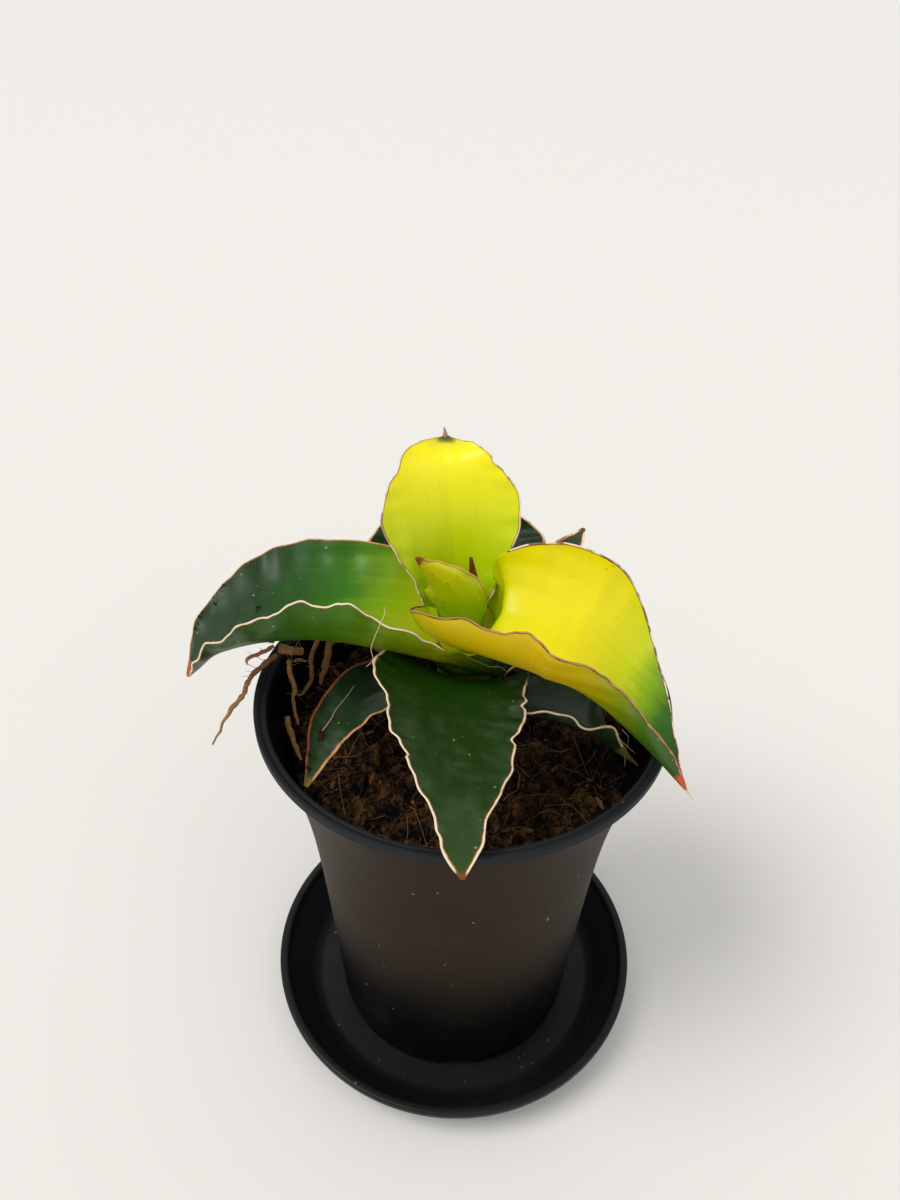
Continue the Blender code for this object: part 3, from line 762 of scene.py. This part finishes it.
def make_pot():
    foot = 3.0 * MM
    floor_top = foot + POT_WALL
    steps = 40
    heights = [NECK_TOP * (1 - (i / steps) ** 1.4) for i in range(steps + 1)]
    mouth = POT_RIM_RADIUS - POT_LEDGE - POT_WALL
    inside = [(pot_radius(h) - POT_WALL, h) for h in reversed(heights) if h > floor_top + POT_WALL]
    rim = rounded([
        (mouth, NECK_TOP),
        (mouth + 0.7 * MM, POT_HEIGHT - 0.9 * MM),
        (mouth + 1.5 * MM, POT_HEIGHT - 0.55 * MM),
        (mouth + 1.9 * MM, POT_HEIGHT - 0.95 * MM),
        (mouth + 2.3 * MM, POT_HEIGHT - 0.5 * MM),
        (POT_RIM_RADIUS - 0.9 * MM, POT_HEIGHT),
        (POT_RIM_RADIUS, POT_HEIGHT),
        (POT_RIM_RADIUS, POT_HEIGHT - POT_LIP_HEIGHT),
        (POT_RIM_RADIUS - 1.2 * MM, POT_HEIGHT - POT_LIP_HEIGHT - 0.3 * MM),
        (pot_radius(NECK_TOP), NECK_TOP),
    ], 0.35 * MM)
    base = [(pot_radius(h), h) for h in heights[:-1]]
    inner_foot = POT_BASE_RADIUS - 2.2 * MM
    under = rounded([
        (pot_radius(2 * MM), 2 * MM), (POT_BASE_RADIUS, 0.0), (inner_foot, 0.0), (inner_foot, foot),
    ], 0.4 * MM)
    profile = [(0.0, floor_top), (pot_radius(floor_top) - POT_WALL, floor_top)] + inside + rim + base
    profile += under + [(0.0, foot)]
    points, faces = lathe([(r, h + POT_LOW.z) for r, h in profile], 288)
    # Near-black towards the foot is painted shade; the brown above it is a painted warm reflection.
    pot = add_mesh("pot_shell", points, faces, plastic(
        "pot_plastic", colour(7, 7, 8), colour(42, 32, 18), 0.024, 0.064, 0.52, 0.09))
    slots = []
    turns = np.linspace(0, 2 * math.pi, 32, endpoint=False)
    # An arched notch through the foot ring, wider than it is tall
    face = [(SLOT_WIDTH / 2 * math.cos(t), SLOT_HEIGHT * math.sin(t)) for t in turns]
    for i in range(SLOT_COUNT):
        angle = math.radians(FIRST_SLOT_DEGREES + 360 / SLOT_COUNT * i)
        out = Vector((math.cos(angle), math.sin(angle), 0))
        over = Vector((-math.sin(angle), math.cos(angle), 0))
        rings = []
        for reach in (POT_BASE_RADIUS - 6 * MM, POT_BASE_RADIUS + 3 * MM):
            rings += [tuple(out * reach + over * x + Vector((0, 0, POT_LOW.z + z))) for x, z in face]
        slots.append((np.array(rings), wrapped(2, len(face))))
    points, faces, _ = joined(slots)
    cutter = add_mesh("drain_cutter", points, faces, pot.data.materials[0])
    boolean = pot.modifiers.new("Drain", "BOOLEAN")
    boolean.object = cutter
    boolean.solver = "EXACT"
    apply_modifiers(pot)
    bpy.data.objects.remove(cutter, do_unlink=True)
    settle(pot, "pot_plastic", "pot")


def apply_modifiers(thing):
    bpy.context.view_layer.update()
    graph = bpy.context.evaluated_depsgraph_get()
    mesh = bpy.data.meshes.new_from_object(thing.evaluated_get(graph))
    thing.modifiers.clear()
    thing.data = mesh


def make_saucer():
    wall = 1.6 * MM
    floor = SAUCER_FLOOR
    base = SAUCER_RADIUS - 10 * MM
    top = SAUCER_HIGH.z
    profile = rounded([
        (0.0, floor), (28 * MM, floor),
        (28.6 * MM, floor + 0.35 * MM), (29.6 * MM, floor + 0.35 * MM),
        (30.2 * MM, floor), (base - wall, floor),
        (base + 0.7 * MM, floor + 1.3 * MM),
        (SAUCER_RADIUS - 3.0 * MM, top - 2.2 * MM),
        (SAUCER_RADIUS - 2.3 * MM, top), (SAUCER_RADIUS, top), (SAUCER_RADIUS, top - 2.2 * MM),
        (base + wall, 0.9 * MM), (base, 0.0), (0.0, 0.0),
    ], 0.9 * MM, 6)
    points, faces = lathe(profile, 288)
    saucer = add_mesh("saucer_tray", points, faces, plastic(
        "saucer_plastic", colour(22, 23, 25), colour(16, 16, 18), 0.0, 0.012, 0.42, 0.25))
    settle(saucer, "saucer_plastic", "saucer")


# --- soil ---

HOLLOW = (36 * MM, -7 * MM, 7 * MM, 6 * MM)  # x, y, radius and depth of the gap at the right wall
SOIL_REACH = 45  # mm, half the side of the square that spots are drawn from
FIBRE_REACH = 42.5 * MM
FIBRE_POINTS = 11
CRUMB_SIZES = ((4600, 0.16, 0.45), (1500, 0.4, 0.85), (190, 0.8, 1.7))  # count, least and most mm


def ground(x, y):
    """The CAD's soil surface: a tilt up to the back left with low ripples."""
    level = RIM_TOP - HEADSPACE
    tilt = SOIL_TILT * (y - x) / (1.4 * POT_RIM_RADIUS)
    ripple = math.sin(420 * x + 1.0) * math.cos(380 * y) + 0.5 * math.sin(630 * x + 700 * y)
    return level + tilt + SOIL_RIPPLE * ripple


def lumpy(x, y):
    """The soil's real surface, with clods and a hollow at the right."""
    here = Vector((x, y, 0.0))
    clods = noise.noise(here * 190) * 2.0 + noise.noise(here * 460) * 1.5 + noise.noise(here * 1300) * 0.6
    hole_x, hole_y, hole_radius, hole_depth = HOLLOW
    away = math.hypot(x - hole_x, y - hole_y) / hole_radius
    return ground(x, y) + clods * MM - hole_depth * math.exp(-(away**2) * 1.4)


def relief_shade(x, y):
    """0 in the soil's gaps and 1 on its clods; the soil's colour darkens with it, a painted shade in the
    gaps.
    """
    return min(max(0.42 + (lumpy(x, y) - ground(x, y)) / (3.2 * MM), 0.0), 1.0)


def soil_material(name, dark, mid, light, size):
    n = Nodes(name, Roughness=0.92, Specular_IOR_Level=0.2)
    place = n.place()
    tone = n.attribute("tone")
    cloud = n.noise(place, size, 6, 0.72)
    share = n.plus(n.times(tone, 0.55), n.times(n.plus(cloud, -0.5), 1.3), True)
    n.paint(n.ramp(n.plus(share, 0.08), stops((0, dark), (0.16, dark), (0.5, mid), (0.9, light))))
    n.bump(n.noise(place, size * 5, 5, 0.7), 0.8, 0.0004)
    return n.material


def make_soil():
    rings, steps = 130, 300
    top, floor = RIM_TOP - HEADSPACE, 4.3 * MM
    wall = pot_radius(ground(0, -0.04) - POT_LOW.z) - POT_WALL
    profile = [(wall * i / rings, top) for i in range(rings + 1)]
    heights = np.linspace(top - POT_LOW.z - 6 * MM, floor, 11)
    profile += [(pot_radius(h) - POT_WALL - 0.2 * MM, h + POT_LOW.z) for h in heights]
    profile += [(0.0, floor + POT_LOW.z)]
    points, faces = lathe(profile, steps)
    tone = np.full(len(points), 0.35)
    for i in range(1 + rings * steps):
        x, y, _ = points[i]
        z = lumpy(x, y)
        reach = math.hypot(x, y)
        limit = pot_radius(z - POT_LOW.z) - POT_WALL - 0.1 * MM
        if reach > limit:
            x, y = x * limit / reach, y * limit / reach
        points[i] = (x, y, z)
        # Painted shade: the bed's colour darkens in the gaps between clods and in the hollow.
        tone[i] = 0.8 * relief_shade(x, y)
    finish = soil_material("soil_bed", (9, 6, 4), (90, 60, 31), (154, 110, 62), 420)
    bed = add_mesh("soil_bed", points, faces, finish, {"tone": tone})
    settle(bed, "soil", "soil")


def soil_spots(count, reach=0.985):
    """Random places on the soil, clear of the rootstock."""
    spots = []
    while len(spots) < count:
        x, y = RANDOM.uniform(-SOIL_REACH, SOIL_REACH, 2) * MM
        wall = pot_radius(ground(x, y) - POT_LOW.z) - POT_WALL
        if math.hypot(x, y) > wall * reach - 0.5 * MM:
            continue
        if math.hypot(x - STEM_AXIS.x, y - STEM_AXIS.y) < STEM_RADIUS:
            continue
        spots.append((x, y))
    return spots


def crumb(base, size):
    """One lump: a ball pulled out of round, with a rough skin, turned any way."""
    stretch = np.array([RANDOM.uniform(0.7, 1.4), RANDOM.uniform(0.6, 1.2), RANDOM.uniform(0.63, 1.08)])
    return turned_randomly(base * RANDOM.uniform(0.72, 1.25, (len(base), 1)) * stretch) * size


def make_crumbs():
    base, faces = ball(1)
    parts, tones = [], []
    for count, low, high in CRUMB_SIZES:
        for x, y in soil_spots(count):
            size = RANDOM.uniform(low, high) * MM
            z = lumpy(x, y) + size * RANDOM.uniform(-0.1, 0.6)
            parts.append((crumb(base, size) + (x, y, z), faces))
            # Painted shade: crumbs lying in the gaps are darker.
            tones.append(RANDOM.uniform(0.1, 1.0) ** 1.5 * (0.15 + 0.85 * relief_shade(x, y)))
    finish = soil_material("soil_crumbs", (16, 10, 6), (108, 74, 41), (186, 138, 84), 700)
    add_parts("soil_crumbs", parts, tones, finish, "soil", smooth=False)


def make_chips():
    base, faces = ball(2)
    parts, tones = [], []
    for x, y in soil_spots(110):
        size = RANDOM.uniform(0.6, 1.5) * MM
        chip = base * RANDOM.uniform(0.85, 1.1, (len(base), 1)) * (1.5, 0.55, 0.14) * size
        turn = Matrix.Rotation(RANDOM.uniform(0, 2 * math.pi), 3, "Z")
        turn @= Matrix.Rotation(RANDOM.normal(0, 0.5), 3, "X")
        turn @= Matrix.Rotation(RANDOM.normal(0, 0.35), 3, "Y")
        parts.append((chip @ np.array(turn).T + (x, y, lumpy(x, y) + 0.7 * MM), faces))
        tones.append(RANDOM.uniform(0.2, 1.0))
    finish = soil_material("bark_chips", (34, 21, 11), (104, 68, 38), (160, 116, 70), 1100)
    add_parts("bark_chips", parts, tones, finish, "soil")


def fibre_material(name, dark, light):
    n = Nodes(name, Roughness=0.75)
    streak = n.noise(n.place(), 900, 4)
    share = n.plus(n.times(n.attribute("tone"), 0.7), n.times(streak, 0.5))
    n.paint(n.ramp(share, stops((0.1, dark), (0.9, light))))
    n.bump(n.noise(n.place(), 2500, 3), 0.5, 0.0002)
    return n.material


def make_fibres():
    """Coir fibres that lie on the soil in loose curves."""
    parts, tones = [], []
    for x, y in soil_spots(190, 0.93):
        step = RANDOM.uniform(4, 17) * MM / FIBRE_POINTS
        heading = RANDOM.uniform(0, 2 * math.pi)
        curl = RANDOM.normal(0, 0.09)
        lift = RANDOM.uniform(0.4, 1.92) * MM
        path = []
        for share in np.linspace(0, 1, FIBRE_POINTS):
            path.append((x, y, lumpy(x, y) + 0.5 * MM + lift * math.sin(math.pi * share)))
            heading += curl
            x += math.cos(heading) * step
            y += math.sin(heading) * step
            if math.hypot(x, y) > FIBRE_REACH:
                break
        if len(path) < 4:
            continue
        path = through(path, np.linspace(0, 1, 2 * len(path)))
        smoothed = path.copy()
        smoothed[1:-1, 2] = (path[:-2, 2] + path[1:-1, 2] + path[2:, 2]) / 3
        radius = RANDOM.uniform(0.03, 0.075) * MM
        parts.append(tube(smoothed, radius * np.linspace(1.0, 0.6, len(path)), 5))
        tones.append(RANDOM.uniform(0, 1))
    finish = fibre_material("coir_fibre", (84, 50, 24), (176, 128, 76))
    add_parts("coir_fibres", parts, tones, finish, "soil")


# --- roots ---

Root = namedtuple("Root", "name radius points hairs")
ROOTS = (
    Root("root_knot", 1.4, ((-45.5, 10.5, 2.6), (-43, 10, 2.8), (-40.5, 11, 1.6)), 10),
    Root("root_over_rim", 0.8, (
        (-46.1, 8.5, 2.3), (-49, 4.5, 2.2), (-51.6, 1, 1),
        (-53.5, -1, -2.5), (-57, -3.5, -7), (-61, -6.5, -14),
    ), 5),
    Root("root_hook", 0.6, ((-46.9, 10.1, 3.8), (-50.5, 6.5, 4.2), (-52.5, 5, 4), (-53, 5, 2)), 3),
    Root("root_stub", 0.9, ((-47, 12, 4.3), (-48.6, 11.4, 5.2), (-50, 10.5, 5.8)), 2),
    Root("root_inner", 0.7, (
        (-43.2, 8.4, 0.9), (-43.2, 7.3, -3), (-42, 6, -5),
        (-42.3, 4, -9), (-41.5, 2, -13), (-41, 1, -14),
    ), 7),
    Root("root_bent", 0.75, (
        (-35.2, 22, -1.5), (-37.5, 18.5, -0.8), (-38.8, 14.3, -4),
        (-38.8, 11.5, -8), (-40.3, 8.5, -10), (-42, 7.3, -9.8),
    ), 7),
    Root("root_link", 0.5, ((-41.9, 9.6, -0.3), (-41, 11.4, -1.8), (-39.8, 12.8, -3)), 1),
    Root("root_thick", 1.3, (
        (-6.5, 8.4, -10), (-15, 14, -5), (-25, 19, -1.5),
        (-33.5, 20.5, -2.5), (-36, 17, -9), (-36.8, 14.3, -12.5),
    ), 60),
    Root("root_wall", 0.9, ((-43.3, -1, -9), (-41.6, -5, -12.3), (-38.8, -10.5, -14.4)), 2),
)


def make_root(root, finish):
    """A knobbly tapering root with fine side hairs."""
    chosen = np.array(root.points, float) * MM + [0, 0, RIM_TOP]
    count = 14 * (len(chosen) - 1)
    shares = np.linspace(0, 1, count + 1)
    path = through(chosen, shares)
    phase = RANDOM.uniform(0, 6)
    for i, point in enumerate(path):
        seed = Vector(point) * 380 + Vector((phase, 0, 0))
        path[i] += np.array(noise.noise_vector(seed)) * 0.45 * MM
    knobs = np.array([0.9 + 0.34 * noise.noise(Vector((s * len(chosen) * 5, phase, 0))) for s in shares])
    end = 0.8 if root.name == "root_knot" else 0.3
    taper = np.interp(shares, [0, 0.1, 0.75, 1], [0.85, 1.0, 0.8, end])
    parts = [tube(path, root.radius * MM * knobs * taper, 12)]
    for _ in range(root.hairs):
        i = RANDOM.integers(1, count)
        direction = unit(RANDOM.normal(size=3))
        length = RANDOM.uniform(0.8, 3.2) * MM * (0.8 if root.hairs > 20 else 1.4)
        bend = unit(RANDOM.normal(size=3)) * length * 0.4
        reach = direction * length
        hair = path[i] + np.array([0 * reach, reach * 0.5 + bend * 0.3, reach + bend])
        parts.append(tube(through(hair, np.linspace(0, 1, 6)), np.linspace(0.1, 0.04, 6) * MM, 5))
    tones = [RANDOM.uniform(0.3, 0.7)] + [RANDOM.uniform(0.4, 1.0) for _ in parts[1:]]
    add_parts(root.name + "_bark", parts, tones, finish, "root", root.name)


def make_roots():
    finish = fibre_material("root_bark", (104, 60, 26), (206, 150, 92))
    for root in ROOTS:
        make_root(root, finish)


def make_rootstock():
    top, soil_top = RIM_TOP + 2 * MM, RIM_TOP - HEADSPACE
    profile = [
        (0.0, top + 3 * MM), (0.9, top + 2 * MM), (1.3, top - 1 * MM), (1.2, top - 5 * MM),
        (1.05, soil_top + 8 * MM), (1.25, soil_top), (1.1, soil_top - 7 * MM),
        (0.5, soil_top - 14 * MM), (0.0, soil_top - 14 * MM),
    ]
    points, faces = lathe(rounded([(r * STEM_RADIUS, h) for r, h in profile], 2 * MM), 64)
    for i, (x, y, z) in enumerate(points):
        ridge = noise.noise(Vector((x * 900, y * 900, z * 120)))
        points[i] = np.array((x, y, z)) * (1 + 0.08 * ridge, 1 + 0.08 * ridge, 1) + np.array(STEM_AXIS)
    finish = fibre_material("rootstock_sheath", (40, 52, 6), (110, 126, 12))
    made = add_mesh("rootstock_sheath", points, faces, finish, {"tone": np.full(len(points), 0.5)})
    settle(made, "rootstock", "rootstock")


# --- small things on the leaves ---

# Points in mm, heights above the rim: (name, points, first and last radius)
THREADS = (
    ("pale_thread", (
        (-18.2, -4.0, 27.8), (-17.7, -8.0, 29.3), (-18.7, -10.0, 27.5), (-19.9, -12.0, 25.2),
        (-20.5, -13.0, 23.2), (-20.1, -14.0, 21.0), (-21.5, -15.0, 19.8),
    ), (0.09, 0.06)),
    ("leaf_thread", (
        (-25.4, -5.2, 5.6), (-27.0, -8.4, 4.9), (-29.3, -12.7, 4.3), (-29.9, -15.2, 4.2),
        (-31.6, -18.5, 3.6),
    ), (0.05, 0.08)),
    ("frayed_tip_1", ((35.0, -14.6, -0.5), (37.4, -15.6, -3.4), (38.0, -16.4, -8.0)), (0.16, 0.05)),
    ("frayed_tip_2", ((34.6, -14.2, 0.6), (37.0, -15.0, -1.6), (40.2, -15.6, -4.6)), (0.12, 0.04)),
    ("frayed_tip_3", ((36.4, -14.4, 2.0), (38.2, -14.2, -1.0), (37.8, -15.0, -5.4)), (0.08, 0.04)),
    ("leaf_tip_hair", ((47.2, -31.4, 2.6), (48.2, -32.4, 1.6), (49.2, -33.6, 0.6)), (0.35, 0.06)),
    ("upright_tip_cone", ((-5.7, 31.6, 50.6), (-5.7, 32.2, 52.0), (-6.0, 32.6, 53.4)), (0.9, 0.1)),
)


def make_sheath():
    """The front of the fused leaf bases, a short curved wall between the left and front leaves."""
    down = np.linspace(0, 1, 9)
    radius = (7.0 + 1.2 * np.sin(1.9 * down)) * MM
    wall = 0.9 * MM
    radius = np.concatenate([radius, radius[::-1] - wall])
    down = np.concatenate([down, down[::-1]])
    height = RIM_TOP + (9.8 - 4.2 * down) * MM
    turns = np.radians(np.linspace(-170, -10, 41))[:, None]
    rings = np.stack([
        STEM_AXIS.x + np.cos(turns) * radius, STEM_AXIS.y + np.sin(turns) * radius, 0 * turns + height,
    ], -1)
    n = Nodes("leaf_sheath", Roughness=0.45, Specular_IOR_Level=0.25)
    streak = n.noise(n.scaled(n.place(), 900, 900, 60), 1.0, 3)
    share = n.plus(n.attribute("tone"), n.times(n.plus(streak, -0.5), 0.3))
    n.paint(n.ramp(share, stops((0, (104, 122, 6)), (0.35, (62, 92, 8)), (1, (30, 70, 20)))))
    n.bump(streak, 0.15, 0.0002)
    tone = np.tile(down, len(turns))
    faces = wrapped(*rings.shape[:2])
    settle(add_mesh("leaf_sheath", rings.reshape(-1, 3), faces, n.material, {"tone": tone}), "green_leaf")


def make_threads():
    finish = fibre_material("dry_thread", (140, 84, 48), (226, 196, 150))
    for name, points, radii in THREADS:
        path = through(np.array(points) * MM + [0, 0, RIM_TOP], np.linspace(0, 1, 25))
        tone = 0.1 if name == "upright_tip_cone" else 0.8
        add_parts(name, [tube(path, np.linspace(*radii, 25) * MM, 8)], [tone], finish, "dry_leaf")


# Dirt that clings to the leaves: leaf, share of its length, place across, mm of spread, crumbs
DIRT = (
    ("leaf_left", 0.69, 0.36, 0.9, 8),
    ("leaf_left", 0.8, 0.94, 2.6, 16),
    ("leaf_left", 0.86, 0.94, 2.0, 9),
    ("leaf_left", 0.5, 0.15, 3.5, 5),
    ("leaf_front_left", 0.75, 0.2, 1.1, 26),
    ("leaf_front_left", 0.86, 0.7, 0.8, 14),
    ("leaf_front_left", 0.92, 0.6, 0.9, 12),
    ("leaf_low_right", 0.8, 0.0, 3.0, 14),
)


def make_dirt():
    base, faces = ball(1)
    chosen = {leaf.name: leaf for leaf in LEAVES}
    parts = []
    for name, share, across, spread, count in DIRT:
        leaf = chosen[name]
        length = np.linalg.norm(np.diff(np.array(leaf.spine, float), axis=0), axis=1).sum()
        half = max(float(through(leaf.half_width, np.array([share]))[0]), 1.0)
        for _ in range(count):
            v = min(max(share + RANDOM.normal(0, spread / 2) / length, 0.02), 0.98)
            a = min(max(across + RANDOM.normal(0, spread / 2) / half, -0.97), 0.97)
            place = leaf_upper(leaf, np.array([v]), np.array([a]))[0][0, 0]
            size = RANDOM.uniform(0.12, 0.42) * MM
            parts.append((crumb(base, size) + place + (0, 0, size * 0.4), faces))
    finish = soil_material("leaf_dirt", (24, 15, 9), (70, 46, 26), (120, 86, 52), 900)
    add_parts("leaf_dirt", parts, RANDOM.uniform(0, 1, len(parts)), finish, "soil", smooth=False)


def make_saucer_crumbs():
    """A few crumbs of bark and soil that fell on the saucer's floor."""
    base, faces = ball(2)
    parts, tones = [], []
    for _ in range(20):
        turn = RANDOM.uniform(-2.6, 0.2)
        reach = RANDOM.uniform(35.5, 40) * MM
        size = RANDOM.uniform(0.15, 0.5) * MM
        place = (reach * math.cos(turn), reach * math.sin(turn), SAUCER_FLOOR + size * 0.4)
        parts.append((crumb(base, size) + place, faces))
        tones.append(RANDOM.uniform(0.2, 1.0))
    finish = soil_material("fallen_crumbs", (60, 32, 16), (104, 56, 28), (130, 88, 52), 900)
    add_parts("fallen_crumbs", parts, tones, finish, "soil", smooth=False)


# --- stage ---

CAMERA_PLACE = (-0.00365, -0.17522, 0.27542)
CAMERA_LENS = 29.39  # mm
CAMERA_TILT = 52.74  # degrees up from straight down
CAMERA_ROLL = 1.314
FLOOR_HALF = 6.0


def make_camera():
    data = bpy.data.cameras.new("camera")
    data.sensor_width = 36.0
    data.lens = CAMERA_LENS
    data.clip_start = 0.01
    camera = bpy.data.objects.new("camera", data)
    bpy.context.scene.collection.objects.link(camera)
    tilt = Matrix.Rotation(math.radians(CAMERA_TILT), 4, "X")
    roll = Matrix.Rotation(math.radians(CAMERA_ROLL), 4, "Z")
    camera.matrix_world = Matrix.Translation(CAMERA_PLACE) @ tilt @ roll
    bpy.context.scene.camera = camera


def sun_light(name, direction, strength, spread, tint=(1, 1, 1)):
    """A distant soft light that comes from this direction."""
    data = bpy.data.lights.new(name, "SUN")
    data.energy = strength
    data.angle = math.radians(spread)
    data.color = tint
    made = bpy.data.objects.new(name, data)
    made.rotation_euler = (-Vector(direction)).to_track_quat("-Z", "Y").to_euler()
    bpy.context.scene.collection.objects.link(made)


def make_stage():
    corners = np.array([(-1, -1, 0), (1, -1, 0), (1, 1, 0), (-1, 1, 0)]) * FLOOR_HALF
    finish = Nodes("floor", Base_Color=colour(236, 234, 230), Roughness=0.7).material
    add_mesh("floor", corners, [(0, 1, 2, 3)], finish, smooth=False)
    world = bpy.data.worlds.new("studio")
    world.use_nodes = True
    background = world.node_tree.nodes["Background"]
    background.inputs["Color"].default_value = (1.0, 0.99, 0.97, 1)
    background.inputs["Strength"].default_value = 0.6
    bpy.context.scene.world = world
    sun_light("key", (-0.55, -0.2, 0.85), 1.45, 30, (1, 0.99, 0.97))
    sun_light("fill", (0.3, -0.7, 0.8), 0.4, 60)
    bpy.context.scene.view_settings.view_transform = "Standard"


def main():
    make_camera()
    make_stage()
    make_saucer()
    make_pot()
    make_soil()
    make_crumbs()
    make_chips()
    make_fibres()
    make_rootstock()
    for leaf in LEAVES:
        make_leaf(leaf)
    make_roots()
    make_sheath()
    make_threads()
    make_dirt()
    make_saucer_crumbs()


main()
